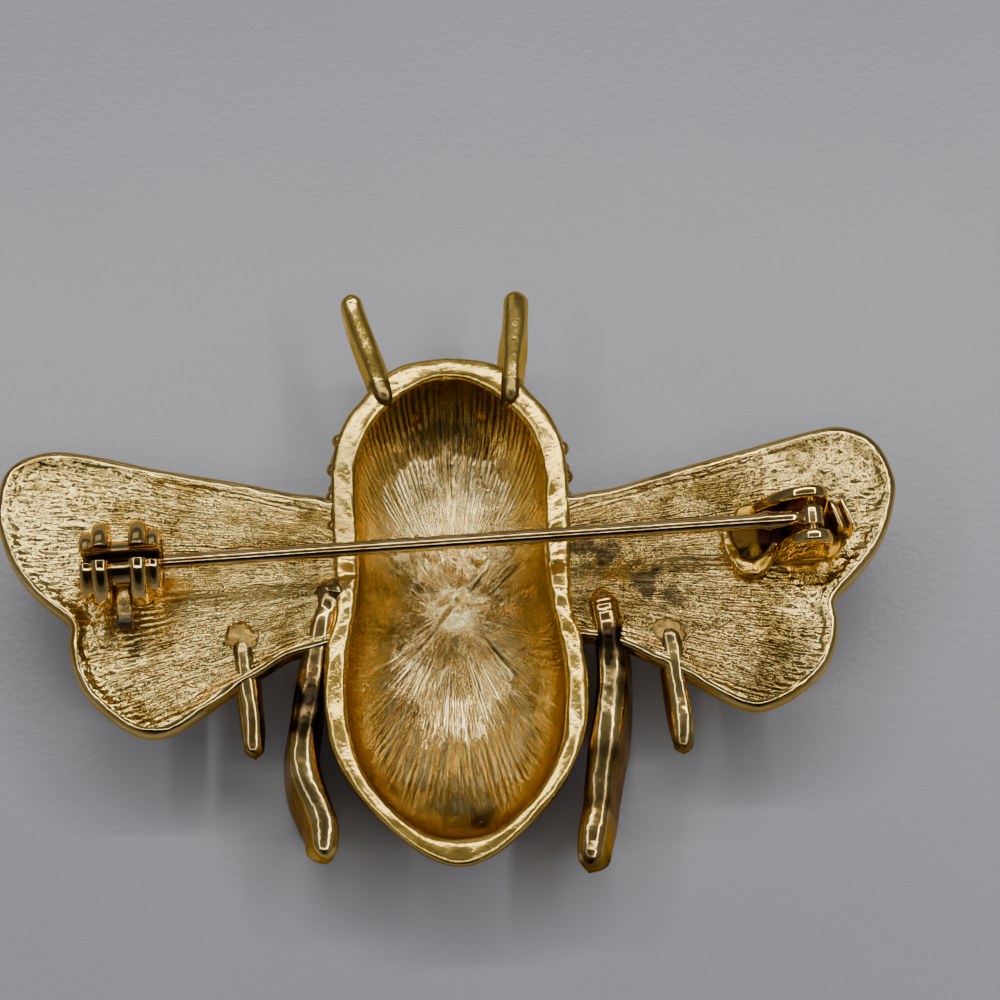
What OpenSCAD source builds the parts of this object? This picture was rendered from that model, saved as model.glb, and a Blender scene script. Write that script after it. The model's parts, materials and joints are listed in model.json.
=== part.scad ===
// Bee brooch lying face down: its back faces up, its head points to +Y.
// Shapes are set out from the waist line, and mid_y moves the whole to the middle of its length.

/* [Body shell] */
// Length of the body, head to tail
body_len = 30.75; // [28:0.05:34]
// Greatest width of the body, across the abdomen
body_w = 15.1; // [13.5:0.1:16.5]
// Distance from the tail end to the waist line
tail_len = 17.9; // [16.5:0.1:19]
// Height of the back rim over the surface that the brooch lies on
rim_h = 8; // [7:0.1:10]
// Width of the flat rim round the hollow
rim_w = 1.3; // [1:0.05:1.6]
// Width of the rim at the tail end
tail_rim_w = 1.55; // [1.3:0.05:1.8]
// Wall of the shell at the deepest place
shell_wall = 1.3; // [1:0.05:1.8]
// How far the raised bands and beads stand out on the front
relief_h = 0.35; // [0.2:0.05:0.5]
// Diameter of a bead on the thorax
bead_d = 1.1; // [0.8:0.05:1.3]

/* [Wings] */
// Width over both wings
wing_span = 52; // [46:0.5:58]
// Height of a wing, upper lobe to lower lobe
wing_w = 17.1; // [15:0.1:19]
// Thickness of a wing at its smooth border
wing_t = 1.4; // [1.1:0.05:1.8]
// How far the border stands over the textured field, on both faces
border_h = 0.25; // [0.15:0.05:0.35]
// Width of the smooth border
border_w = 0.85; // [0.6:0.05:1.1]
// How far the wings lie below the back rim
wing_drop = 0.2; // [0:0.05:0.5]

/* [Antennae and legs] */
// Length of an antenna
antenna_len = 6.6; // [5.5:0.1:7.5]
// Distance from the middle line to an antenna tip
antenna_out = 5.4; // [4.6:0.1:6.2]
// Width of an antenna
antenna_w = 1.5; // [1.2:0.05:1.9]
// Length of a hind leg
hind_len = 16.3; // [14.5:0.1:17.5]
// Distance from the middle line to a hind leg
hind_out = 9; // [8.6:0.1:9.6]
// Width of a hind leg
hind_w = 2; // [1.6:0.05:2.3]
// Length of a short leg
short_len = 7.4; // [6:0.1:8.5]
// Distance from the middle line to a short leg
short_out = 12.4; // [12:0.1:13]
// Width of a short leg
short_w = 1.4; // [1.1:0.05:1.7]

/* [Pin stem and its joint] */
// Diameter of the stem's wire
stem_d = 0.85; // [0.7:0.01:0.95]
// Height of the stem's axis over the wing
stem_h = 2.75; // [2.6:0.05:3.2]
// Turn of the stem against the brooch's width, degrees
stem_turn = 2.2; // [0:0.1:3]
// Distance of the stem's middle over the waist line
stem_up = 0.4; // [-0.5:0.05:0.6]
// Place of the rivet, from the middle line to the wing tip (share)
rivet_place = 0.797; // [0.77:0.001:0.81]
// Diameter of the rivet
rivet_d = 0.6; // [0.5:0.01:0.7]
// Radial clearance between the rivet and the stem's eye
eye_fit = 0.04; // [0.02:0.01:0.08]
// Radial clearance between the rivet and the ears
ear_fit = 0.02; // [0.01:0.01:0.05]
// Outer diameter of the eye
eye_d = 1.35; // [1.25:0.05:1.45]
// Diameter of the stem's thick butt
butt_d = 1.1; // [1:0.05:1.2]
// Length of the butt, from the rivet
butt_len = 3.1; // [2.5:0.1:3.5]
// Distance between the ears, inside
ear_gap = 1.9; // [1.75:0.05:2.1]
// Thickness of an ear
ear_t = 0.75; // [0.6:0.05:0.85]
// Diameter of an ear's round head
ear_d = 2.1; // [2:0.05:2.3]
// Reach of the ear on the head side, from the rivet towards the middle
ear_foot = 3.3; // [3:0.1:3.6]
// Reach of the ear on the tail side
short_ear_foot = 2.3; // [2:0.1:2.6]
// Thickness of the joint's base
base_t = 0.45; // [0.35:0.05:0.6]

/* [Safety catch] */
// Place of the catch, from the middle line to the wing tip (share)
catch_place = 0.724; // [0.7:0.002:0.74]
// Length of the catch barrel
catch_len = 4.6; // [4.4:0.1:5.2]
// Diameter over the two inner ridges
ridge_d = 5; // [4.8:0.1:5.2]
// Diameter over the two outer ridges
outer_ridge_d = 4; // [3.9:0.1:4.2]
// Width of an inner ridge (share of an inner and an outer ridge together)
inner_share = 0.58; // [0.5:0.01:0.62]
// Diameter of the turning roller
roller_d = 2.7; // [2.6:0.05:2.9]
// Radial clearance between the roller and the barrel
roller_fit = 0.05; // [0.03:0.01:0.08]
// Clearance of the wire in the mouth, each side
mouth_fit = 0.06; // [0.05:0.01:0.1]
// Radial clearance of the wire in the roller
wire_fit = 0.2; // [0.15:0.01:0.25]
// Width of the window that the lever moves in
window_w = 1.1; // [1:0.05:1.3]
// Clearance of the lever in the window, each side
lever_fit = 0.1; // [0.06:0.01:0.15]
// Reach of the thumb lever from the roller's axis
lever_len = 3.7; // [3.4:0.1:4]
// Width of the thumb lever across its length
lever_w = 1.1; // [0.9:0.05:1.3]
// Angle of the lever at rest, from straight up towards the tail
lever_rest = 106; // [100:1:110]
// Width of the catch's foot, across the stem
foot_w = 3; // [2.6:0.1:3.6]

/* [Hidden] */
$fn = 48;
eps = 0.01;

casting_color = [0.80, 0.63, 0.28];
finding_color = [0.86, 0.72, 0.40];
wire_color = [0.78, 0.66, 0.42];

// Body sections. Columns: place from tail to head (share of the form's length), half width of the
// skin (share of body_w / 2), of the hollow (share of its half width), depth (share of the form's)
BODY = [
    [0.000, 0.05, 0.048, 0.08], [0.004, 0.11, 0.199, 0.14], [0.0267, 0.292, 0.406, 0.36],
    [0.0735, 0.516, 0.641, 0.6], [0.120, 0.696, 0.800, 0.72], [0.165, 0.825, 0.903, 0.83],
    [0.2146, 0.922, 0.968, 0.9], [0.260, 0.975, 0.993, 0.95], [0.312, 1, 1.008, 0.98],
    [0.360, 1, 1.002, 1], [0.426, 0.975, 0.964, 0.985], [0.478, 0.913, 0.921, 0.955],
    [0.5236, 0.9, 0.891, 0.945], [0.582, 0.906, 0.866, 0.94], [0.646, 0.916, 0.867, 0.95],
    [0.728, 0.92, 0.878, 0.975], [0.813, 0.893, 0.863, 0.97], [0.878, 0.794, 0.766, 0.92],
    [0.921, 0.659, 0.634, 0.83], [0.959, 0.53, 0.460, 0.7], [0.985, 0.37, 0.279, 0.5],
    [0.9955, 0.19, 0.154, 0.3], [1.000, 0.05, 0.048, 0.08]
];
skin_steps = [3, 16];
hollow_steps = [2, 12];
arc_power = 0.88;

// Wing outline, root to tip and back. Columns: place from the middle line (share of half the
// span), place from the waist line (share of wing_w)
WING = [
    [0.190, 0.170], [0.281, 0.240], [0.365, 0.260], [0.462, 0.301], [0.562, 0.342], [0.665, 0.383],
    [0.750, 0.418], [0.819, 0.444], [0.877, 0.456], [0.935, 0.430], [0.973, 0.374], [0.994, 0.292],
    [1.000, 0.216], [0.977, 0.088], [0.942, -0.009], [0.892, -0.099], [0.848, -0.170], [0.850, -0.246],
    [0.842, -0.322], [0.819, -0.404], [0.777, -0.465], [0.723, -0.518], [0.665, -0.544], [0.612, -0.523],
    [0.554, -0.471], [0.496, -0.412], [0.423, -0.354], [0.358, -0.304], [0.281, -0.278], [0.190, -0.251]
];
wing_steps = 2;
// Wing edge, field to rim. Columns: inset (share of border_w), distance from the middle plane
// (share of wing_t / 2), dip under the border's crest (share of border_h)
EDGE = [[1.25, 1, 1], [0.90, 1, 0.3], [0.50, 1, 0], [0.12, 0.62, 0], [0, 0, 0]];
// Veins on the front of a wing, root to end. Columns: place out (share of half the span), place up
// (share of wing_w) of the root, then of the end
VEINS = [
    [0.30, 0.10, 0.90, 0.33], [0.30, 0.02, 0.88, 0.12], [0.32, -0.06, 0.78, -0.06],
    [0.34, -0.14, 0.76, -0.30], [0.36, -0.20, 0.66, -0.46]
];

// Limbs. Columns: place out, place along, top and bottom over the surface (share of rim_h),
// half width at the back and at the front (share of the limb's width)
HIND_LEFT = [
    [0.779, -0.012, 1.01, 0.66, 0.46, 0.46], [0.834, 0.094, 0.99, 0.52, 0.40, 0.44],
    [0.883, 0.201, 0.97, 0.30, 0.40, 0.46], [0.939, 0.363, 0.955, 0.12, 0.42, 0.50],
    [0.981, 0.506, 0.945, 0.04, 0.42, 0.52], [0.966, 0.624, 0.93, 0.03, 0.42, 0.52],
    [0.907, 0.727, 0.92, 0.10, 0.42, 0.50], [0.860, 0.816, 0.905, 0.30, 0.42, 0.48],
    [0.851, 0.897, 0.875, 0.52, 0.40, 0.42]
];
HIND_RIGHT = [
    [0.962, 0.064, 1.00, 0.60, 0.44, 0.46], [0.991, 0.173, 0.99, 0.36, 0.42, 0.48],
    [0.999, 0.318, 0.97, 0.12, 0.42, 0.50], [0.969, 0.461, 0.955, 0.04, 0.42, 0.52],
    [0.921, 0.585, 0.94, 0.03, 0.42, 0.52], [0.887, 0.691, 0.93, 0.06, 0.42, 0.50],
    [0.861, 0.792, 0.91, 0.22, 0.42, 0.48], [0.829, 0.876, 0.90, 0.42, 0.42, 0.46],
    [0.811, 0.953, 0.87, 0.54, 0.40, 0.42]
];
SHORT_LEFT = [
    [0.986, 0.022, 0.975, 0.76, 0.46, 0.50], [0.965, 0.232, 0.97, 0.66, 0.44, 0.52],
    [0.957, 0.446, 0.955, 0.62, 0.44, 0.52], [0.945, 0.657, 0.94, 0.64, 0.44, 0.50],
    [0.938, 0.817, 0.91, 0.70, 0.40, 0.42]
];
SHORT_RIGHT = [
    [1.000, 0.080, 0.975, 0.76, 0.46, 0.50], [1.010, 0.323, 0.97, 0.66, 0.44, 0.52],
    [1.022, 0.537, 0.955, 0.62, 0.44, 0.52], [1.034, 0.740, 0.94, 0.64, 0.44, 0.50],
    [1.040, 0.893, 0.91, 0.70, 0.40, 0.42]
];
ANTENNA_LEFT = [
    [0.691, -0.010, 1.04, 0.78, 0.38, 0.46], [0.762, 0.218, 1.02, 0.74, 0.40, 0.52],
    [0.856, 0.456, 0.99, 0.72, 0.41, 0.53], [0.950, 0.698, 0.96, 0.72, 0.42, 0.50],
    [1.013, 0.882, 0.93, 0.74, 0.43, 0.45]
];
ANTENNA_RIGHT = [
    [0.689, -0.024, 1.04, 0.78, 0.38, 0.48], [0.710, 0.225, 1.02, 0.74, 0.40, 0.56],
    [0.743, 0.458, 0.99, 0.72, 0.42, 0.58], [0.775, 0.688, 0.96, 0.72, 0.45, 0.52],
    [0.794, 0.860, 0.93, 0.74, 0.46, 0.48]
];
limb_fn = 8;
hind_top = -1.7;
short_top = -4.2;
antenna_inset = 2.25;

// Raised bands across the abdomen and bead rows over the thorax
band_from = 0.10;
band_to = 0.50;
bands = 5;
band_power = 0.6;
bead_from = 0.63;
bead_to = 0.90;
bead_rows = 5;
beads_across = 10;
bead_fn = 8;
bead_out = 0.30;
bead_edge = 12;
eye_place = [0.955, 52];
eye_r = 1.5;
eye_sunk = 0.4;
eye_fn = 10;
vein_d = 0.7;
vein_taper = 0.6;

head_y = body_len - tail_len;
antenna_base = head_y - antenna_inset;
top_y = max(
    tip_y(ANTENNA_LEFT, antenna_base, antenna_len, antenna_w),
    tip_y(ANTENNA_RIGHT, antenna_base, antenna_len, antenna_w)
);
low_y = min(
    -tail_len,
    tip_y(HIND_LEFT, hind_top, -hind_len, hind_w),
    tip_y(HIND_RIGHT, hind_top, -hind_len, hind_w)
);
mid_y = -(top_y + low_y) / 2;

wing_back = rim_h - wing_drop;
field_z = wing_back - border_h;
stem_z = field_z + stem_h;
rivet_out = rivet_place * wing_span / 2;
catch_out = catch_place * wing_span / 2;
stem_r = stem_d / 2;
point_inset = 0.3;
stem_end = catch_len / 2 - point_inset;
point_lead = 0.3;
point_len = stem_end + catch_len / 2 + point_lead;
tip_r = 0.12;
butt_cone = 0.55;
eye_w = butt_d + 2 * eps;
bore_r = roller_d / 2 + roller_fit;
wire_bore = stem_r + wire_fit;
mouth_w = stem_d + 2 * mouth_fit;
// Arch of an ear, from its foot to its round head. Columns: place along the stem (share of the
// ear's reach), height over the wing (share of the ear's height)
EAR = [
    [-1, 0.19], [-0.91, 0.40], [-0.80, 0.57], [-0.66, 0.72], [-0.50, 0.85], [-0.34, 0.94],
    [-0.18, 0.99]
];
ear_outside = ear_gap / 2 + ear_t;
stop_t = 0.55;
stop_w = 1.6;
stop_h = 2.2;
stop_gap = 0.2;
stop_out = ear_d / 2 + stop_gap;
stop_shift = 0.35;
base_lip = 0.25;
base_w = 2 * (ear_outside + base_lip);
// Base of the joint and its notch. Columns: place along the stem from the rivet (share of
// ear_foot), place across it (share of base_w / 2)
BASE = [
    [0.58, 0.65], [0.34, 0.7], [0.30, 1], [-1.05, 1], [-1.18, 0.72], [-1.40, 0.32], [-1.45, -0.15],
    [-1.31, -0.90], [-0.95, -1.22], [-0.70, -1], [0.30, -1], [0.34, -0.4], [0.58, -0.35]
];
BASE_NOTCH = [[-1.24, -0.05], [-0.74, -0.05], [-0.74, -0.42], [-0.95, -0.95], [-1.17, -0.68]];
foot_inset = 0.3;
foot_cut = 0.5;
foot_rise = 0.75;
window_floor = 0.3;
ridge_end = 0.1;
ridge_lap = 0.08;
roller_inset = 0.05;

function spline(a, b, c, d, t) =
    0.5 * (2 * b + (c - a) * t + (2 * a - 5 * b + 4 * c - d) * t * t + (3 * b - a - 3 * c + d) * t * t * t);

// How far a limb reaches, with the round end of its last row
function tip_y(rows, start, run, width) =
    let (tip = rows[len(rows) - 1])
    start + tip[1] * run + sign(run) * tip[5] * width * cos(180 / limb_fn);

// A closed curve through rows, with steps points from each row to the next
function smooth_loop(rows, steps) =
    let (n = len(rows))
    [for (i = [0 : n - 1], j = [0 : steps - 1])
        spline(rows[(i + n - 1) % n], rows[i], rows[(i + 1) % n], rows[(i + 2) % n], j / steps)];

// An open curve through rows
function smooth_rows(rows, steps) =
    let (n = len(rows))
    concat(
        [for (i = [0 : n - 2], j = [0 : steps - 1])
            spline(rows[max(i - 1, 0)], rows[i], rows[i + 1], rows[min(i + 2, n - 1)], j / steps)],
        [rows[n - 1]]
    );

// Height of the raised bands at a place along the body
function band(along) =
    along > band_from && along < band_to
        ? pow(abs(sin(180 * bands * (along - band_from) / (band_to - band_from))), band_power)
        : 0;

// A point of a half-oval form: row and column of its section, angle round it, and the form's sizes
function skin_point(row, column, angle, half_w, depth, length, tail_y, raised) =
    let (
        side = cos(angle),
        down = sin(angle),
        lift = raised * band(row[0]) * pow(down, 2)
    )
    [
        sign(side) * pow(abs(side), arc_power) * (half_w * row[column] + lift),
        tail_y + row[0] * length,
        rim_h - pow(down, arc_power) * (depth * row[3] + lift)
    ];

// Solid between rings of points. Rings go upward, and each runs counterclockwise seen from above
module loft(rings) {
    n = len(rings[0]);
    m = len(rings);
    sides = [for (i = [0 : m - 2], j = [0 : n - 1])
        let (a = i * n + j, b = i * n + (j + 1) % n)
        each [[a, a + n, b + n], [a, b + n, b]]];
    polyhedron(
        points = [for (ring = rings) each ring],
        faces = concat(
            [[for (j = [0 : n - 1]) j]],
            sides,
            [[for (j = [n - 1 : -1 : 0]) (m - 1) * n + j]]
        ),
        convexity = 8
    );
}

// Half-oval sections from tail to head, closed by the rim plane. Steps: between rows, round a section
module shell_form(column, half_w, depth, length, tail_y, raised, steps) {
    rows = smooth_rows(BODY, steps[0]);
    loft([for (row = rows)
        [for (k = [0 : steps[1]])
            skin_point(row, column, 180 * k / steps[1], half_w, depth, length, tail_y, raised)]]);
}

module skin() {
    shell_form(1, body_w / 2, rim_h - relief_h, body_len, -tail_len, relief_h, skin_steps);
}

module hollow() {
    depth = rim_h - relief_h - shell_wall;
    length = body_len - rim_w - tail_rim_w;
    shell_form(2, body_w / 2 - rim_w, depth, length, tail_rim_w - tail_len, 0, hollow_steps);
}

// The wing outline on one side: curve points and the inward direction at each
function wing_outline(side) =
    [for (p = smooth_loop(WING, wing_steps)) [side * p[0] * wing_span / 2, p[1] * wing_w]];

function inset_loop(loop, side, inset) =
    let (n = len(loop))
    [for (i = [0 : n - 1])
        let (run = loop[(i + 1) % n] - loop[(i + n - 1) % n], inward = side * [run[1], -run[0]] / norm(run))
        loop[i] + inset * inward];

function reversed(loop) = [for (i = [len(loop) - 1 : -1 : 0]) loop[i]];

module wing(side) {
    loop = wing_outline(side);
    last = len(EDGE) - 1;
    rings = [for (k = [-last : last])
        let (
            row = EDGE[last - abs(k)],
            height = wing_back - wing_t / 2 + sign(k) * (row[1] * wing_t / 2 - row[2] * border_h)
        )
        [for (p = inset_loop(loop, side, row[0] * border_w)) [p[0], p[1], height]]];
    loft([for (ring = rings) side > 0 ? reversed(ring) : ring]);
    for (v = VEINS) {
        hull() {
            vein_end(side, v[0], v[1], vein_d);
            vein_end(side, v[2], v[3], vein_d * vein_taper);
        }
    }
}

module vein_end(side, out, up, d) {
    translate([side * out * wing_span / 2, up * wing_w, wing_back - wing_t + border_h])
        sphere(d = d, $fn = limb_fn);
}

// A limb as hulls between neighbouring rows of its table
module limb(rows, side, reach, start, run, width) {
    for (i = [0 : len(rows) - 2]) {
        hull() {
            limb_section(rows[i], side, reach, start, run, width);
            limb_section(rows[i + 1], side, reach, start, run, width);
        }
    }
}

module limb_section(row, side, reach, start, run, width) {
    x = side * row[0] * reach;
    y = start + row[1] * run;
    translate([x, y, row[2] * rim_h - row[4] * width]) sphere(r = row[4] * width, $fn = limb_fn);
    translate([x, y, row[3] * rim_h + row[5] * width]) sphere(r = row[5] * width, $fn = limb_fn);
}

// A section's share at a place along the body
function body_share(along, column) = lookup(along, [for (r = BODY) [r[0], r[column]]]);

// A place on the front of the shell, by share along the body and angle round it
function front_place(along, angle, sunk) =
    let (row = [for (column = [0 : 3]) body_share(along, column)])
    skin_point(row, 1, angle, body_w / 2 - sunk, rim_h - relief_h - sunk, body_len, -tail_len, 0);

module beads() {
    for (row = [0 : bead_rows - 1], k = [0 : beads_across - 1]) {
        along = bead_from + (bead_to - bead_from) * row / (bead_rows - 1);
        shift = row % 2 == 0 ? 0 : 0.5;
        angle = bead_edge + (180 - 2 * bead_edge) * (k + shift) / (beads_across - 0.5);
        translate(front_place(along, angle, bead_d / 2 - bead_out)) sphere(d = bead_d, $fn = bead_fn);
    }
}

module eyes() {
    for (side = [0, 1]) {
        angle = side == 0 ? eye_place[1] : 180 - eye_place[1];
        translate(front_place(eye_place[0], angle, eye_sunk)) sphere(r = eye_r, $fn = eye_fn);
    }
}

module casting() {
    color(casting_color)
    translate([0, mid_y, 0])
    difference() {
        union() {
            skin();
            for (side = [-1, 1]) wing(side);
            beads();
            eyes();
            limb(ANTENNA_LEFT, -1, antenna_out, antenna_base, antenna_len, antenna_w);
            limb(ANTENNA_RIGHT, 1, antenna_out, antenna_base, antenna_len, antenna_w);
            limb(HIND_LEFT, -1, hind_out, hind_top, -hind_len, hind_w);
            limb(HIND_RIGHT, 1, hind_out, hind_top, -hind_len, hind_w);
            limb(SHORT_LEFT, -1, short_out, short_top, -short_len, short_w);
            limb(SHORT_RIGHT, 1, short_out, short_top, -short_len, short_w);
        }
        translate([0, 0, eps]) hollow();
    }
}

// The stem's own frame: its axis is X, the rivet at +rivet_out, the catch at -catch_out
module stem_frame() {
    translate([0, mid_y + stem_up, stem_z]) rotate([0, 0, stem_turn]) children();
}

// One ear seen from the side, its head round the rivet
module ear_outline(reach) {
    foot = -stem_h + base_t / 2;
    height = stem_h + ear_d / 2;
    difference() {
        union() {
            circle(d = ear_d);
            polygon(concat(
                [[ear_d / 2, 0], [ear_d / 2, foot], [-reach, foot]],
                [for (row = EAR) [row[0] * reach, row[1] * height - stem_h]]
            ));
        }
        circle(r = rivet_d / 2 + ear_fit);
    }
}

// The base plate on the wing: a long plate with a notch, pointed towards the tail
module base_outline() {
    difference() {
        base_polygon(BASE);
        base_polygon(BASE_NOTCH);
    }
}

module base_polygon(rows) {
    polygon([for (row = rows) [row[0] * ear_foot, row[1] * base_w / 2]]);
}

module joint_plate() {
    color(finding_color)
    stem_frame()
    translate([rivet_out, 0, 0]) {
        translate([0, 0, -stem_h]) linear_extrude(base_t) base_outline();
        translate([0, ear_outside, 0]) rotate([90, 0, 0]) linear_extrude(ear_t) ear_outline(ear_foot);
        translate([0, -ear_gap / 2, 0]) rotate([90, 0, 0])
            linear_extrude(ear_t) ear_outline(short_ear_foot);
        translate([stop_out, stop_shift - stop_w / 2, -stem_h + base_t / 2])
            cube([stop_t, stop_w, stop_h]);
    }
}

// Rivet with its ends flush with the ears
module joint_rivet() {
    color(wire_color)
    stem_frame()
    translate([rivet_out, ear_outside, 0]) rotate([90, 0, 0])
        cylinder(d = rivet_d, h = 2 * ear_outside);
}

// Wire with a butt that thickens before the eye, and a point at the other end
module pin_stem() {
    reach = catch_out + stem_end;
    full_len = reach + rivet_out;
    wire_len = full_len - butt_len;
    color(wire_color)
    stem_frame()
    difference() {
        union() {
            translate([-reach, 0, 0]) rotate([0, 90, 0])
                rotate_extrude()
                polygon([
                    [0, 0], [tip_r, 0], [stem_r, point_len], [stem_r, wire_len],
                    [butt_d / 2, wire_len + butt_cone], [butt_d / 2, full_len], [0, full_len]
                ]);
            translate([rivet_out, eye_w / 2, 0]) rotate([90, 0, 0]) cylinder(d = eye_d, h = eye_w);
        }
        translate([rivet_out, eye_w, 0]) rotate([90, 0, 0])
            cylinder(r = rivet_d / 2 + eye_fit, h = 2 * eye_w);
    }
}

// Half of the barrel's profile: a tube with a high and a low rounded ridge
module barrel_profile() {
    half = catch_len / 2;
    side_w = half - window_w / 2;
    inner_w = inner_share * side_w;
    outer_w = side_w - inner_w + ridge_lap;
    inner_r = (ridge_d - inner_w) / 2;
    outer_r = (outer_ridge_d - outer_w) / 2;
    difference() {
        union() {
            translate([0, window_w / 2]) square([inner_r, inner_w]);
            translate([inner_r, (window_w + inner_w) / 2]) circle(d = inner_w);
            translate([0, window_w / 2]) square([outer_r, side_w - ridge_end]);
            translate([outer_r, half - outer_w / 2]) circle(d = outer_w);
        }
        square([bore_r, catch_len]);
    }
}

// Foot under the barrel, with cut corners
module catch_foot() {
    half_x = catch_len / 2 - foot_inset;
    half_y = foot_w / 2;
    translate([0, 0, -stem_h])
        linear_extrude(stem_h - foot_rise * bore_r)
        polygon([
            [half_x, foot_cut - half_y], [half_x, half_y - foot_cut], [half_x - foot_cut, half_y],
            [foot_cut - half_x, half_y], [-half_x, half_y - foot_cut], [-half_x, foot_cut - half_y],
            [foot_cut - half_x, -half_y], [half_x - foot_cut, -half_y]
        ]);
}

module catch_housing() {
    color(finding_color)
    stem_frame()
    translate([-catch_out, 0, 0])
    difference() {
        union() {
            rotate([0, 90, 0]) rotate_extrude() barrel_profile();
            rotate([0, -90, 0]) rotate_extrude() barrel_profile();
            catch_foot();
        }
        translate([-catch_len, 0, 0]) rotate([0, 90, 0]) cylinder(r = bore_r, h = 2 * catch_len);
        translate([-catch_len, -mouth_w / 2, 0]) cube([2 * catch_len, mouth_w, ridge_d]);
        translate([-window_w / 2, -foot_w, -bore_r - window_floor])
            cube([window_w, 2 * foot_w, ridge_d]);
    }
}

// Tube with a slit for the wire and a thumb lever at the window
module catch_roller() {
    lever_t = window_w - 2 * lever_fit;
    color(wire_color)
    stem_frame()
    translate([-catch_out, 0, 0])
    difference() {
        union() {
            translate([roller_inset - catch_len / 2, 0, 0]) rotate([0, 90, 0])
                cylinder(d = roller_d, h = catch_len - 2 * roller_inset);
            rotate([lever_rest, 0, 0]) translate([-lever_t / 2, -lever_w / 2, 0])
                cube([lever_t, lever_w, lever_len - lever_w / 2]);
            rotate([lever_rest, 0, 0]) translate([-lever_t / 2, 0, lever_len - lever_w / 2])
                rotate([0, 90, 0]) cylinder(d = lever_w, h = lever_t);
        }
        translate([-catch_len, 0, 0]) rotate([0, 90, 0]) cylinder(r = wire_bore, h = 2 * catch_len);
        translate([-catch_len, -mouth_w / 2, 0]) cube([2 * catch_len, mouth_w, roller_d]);
    }
}

casting();
joint_plate();
joint_rivet();
pin_stem();
catch_housing();
catch_roller();
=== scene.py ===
"""Bee brooch lying face down: the looks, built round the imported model.

Lengths in this script are millimetres and are turned into metres when a mesh is made. The brooch's
own places are measured from its waist line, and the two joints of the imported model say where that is.
"""

import json
import logging
import math
from dataclasses import dataclass
from enum import Enum
from typing import ClassVar

import bmesh
import bpy
import numpy as np
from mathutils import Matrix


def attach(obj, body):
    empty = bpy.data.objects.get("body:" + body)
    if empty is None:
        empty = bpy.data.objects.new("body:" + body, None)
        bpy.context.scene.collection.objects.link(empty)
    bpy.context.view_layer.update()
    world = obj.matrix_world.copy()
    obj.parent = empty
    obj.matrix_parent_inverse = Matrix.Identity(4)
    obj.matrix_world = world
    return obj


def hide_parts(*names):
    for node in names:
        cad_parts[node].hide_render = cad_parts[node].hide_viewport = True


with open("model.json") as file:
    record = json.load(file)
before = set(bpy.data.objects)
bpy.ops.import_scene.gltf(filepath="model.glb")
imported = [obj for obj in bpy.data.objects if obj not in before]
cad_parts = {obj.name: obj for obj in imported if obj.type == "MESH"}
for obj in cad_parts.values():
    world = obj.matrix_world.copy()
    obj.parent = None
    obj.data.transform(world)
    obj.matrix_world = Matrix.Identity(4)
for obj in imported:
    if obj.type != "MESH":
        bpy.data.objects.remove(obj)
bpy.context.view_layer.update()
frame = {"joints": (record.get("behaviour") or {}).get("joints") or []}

LOG = logging.getLogger("brooch")
MM = 0.001
TAU = 2 * math.pi

# The stem's axis runs through both joints, and its middle lies STEM_UP over the waist line
JOINTS = {joint["name"]: np.array(joint["pos_m"]) / MM for joint in frame["joints"]}
RIVET, CATCH = JOINTS["pin_hinge"], JOINTS["catch_roll"]
STEM_TURN = math.atan2(RIVET[1] - CATCH[1], RIVET[0] - CATCH[0])
STEM_UP = 0.4
STEM_Z = float(RIVET[2])
RIVET_OUT = float(RIVET[0]) / math.cos(STEM_TURN)
CATCH_OUT = -float(CATCH[0]) / math.cos(STEM_TURN)
MID_Y = float(RIVET[1]) - RIVET_OUT * math.sin(STEM_TURN) - STEM_UP

RIM_Z = 8.0
WING_DROP = 0.2
WING_THICK = 1.4
BORDER_RISE = 0.25
WING_BACK = RIM_Z - WING_DROP
FIELD_Z = WING_BACK - BORDER_RISE
STEM_H = STEM_Z - FIELD_Z
CATCH_LEN = 4.6

# Angles of the rings that round off the end of a tube, and the lip of a slot, in degrees
TUBE_BEND = (80, 62, 44, 27, 12)
LIP_BEND = (85, 65, 45, 27, 12)

Mesh = tuple[np.ndarray, list]
Socket = bpy.types.NodeSocket
Feed = float | Socket


class Pattern(Enum):
    """What the fine relief of a gold surface looks like."""

    POLISHED = "polished"
    MOTTLED = "mottled"
    RAYED = "rayed"
    DRAWN = "drawn"


class Surface(Enum):
    """A side of the shell's wall; its value is the column of its half width in the table of sections."""

    SKIN = 1
    HOLLOW = 2


# Shape helpers


def smooth_path(rows: np.ndarray, steps: int, closed: bool = False) -> np.ndarray:
    """Carries a Catmull-Rom curve through rows of any number of columns.

    Between rows b and c with neighbours a and d the curve is
    (2b + (c - a)t + (2a - 5b + 4c - d)t^2 + (3b - a - 3c + d)t^3) / 2, for t from 0 to 1.

    Args:
        rows: the rows to pass through, one per line.
        steps: points from each row to the next.
        closed: whether the last row runs on into the first.

    Returns:
        The points of the curve.
    """
    rows = np.asarray(rows, float)
    count = len(rows)
    start = np.arange(count if closed else count - 1)
    picks = [start + k for k in (-1, 0, 1, 2)]
    picks = [p % count if closed else np.clip(p, 0, count - 1) for p in picks]
    a, b, c, d = (rows[p][:, None, :] for p in picks)
    t = (np.arange(steps) / steps)[None, :, None]
    bend = (2 * a - 5 * b + 4 * c - d) * t**2 + (3 * b - a - 3 * c + d) * t**3
    curve = ((2 * b + (c - a) * t + bend) / 2).reshape(-1, rows.shape[1])
    return curve if closed else np.vstack([curve, rows[-1]])


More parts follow.
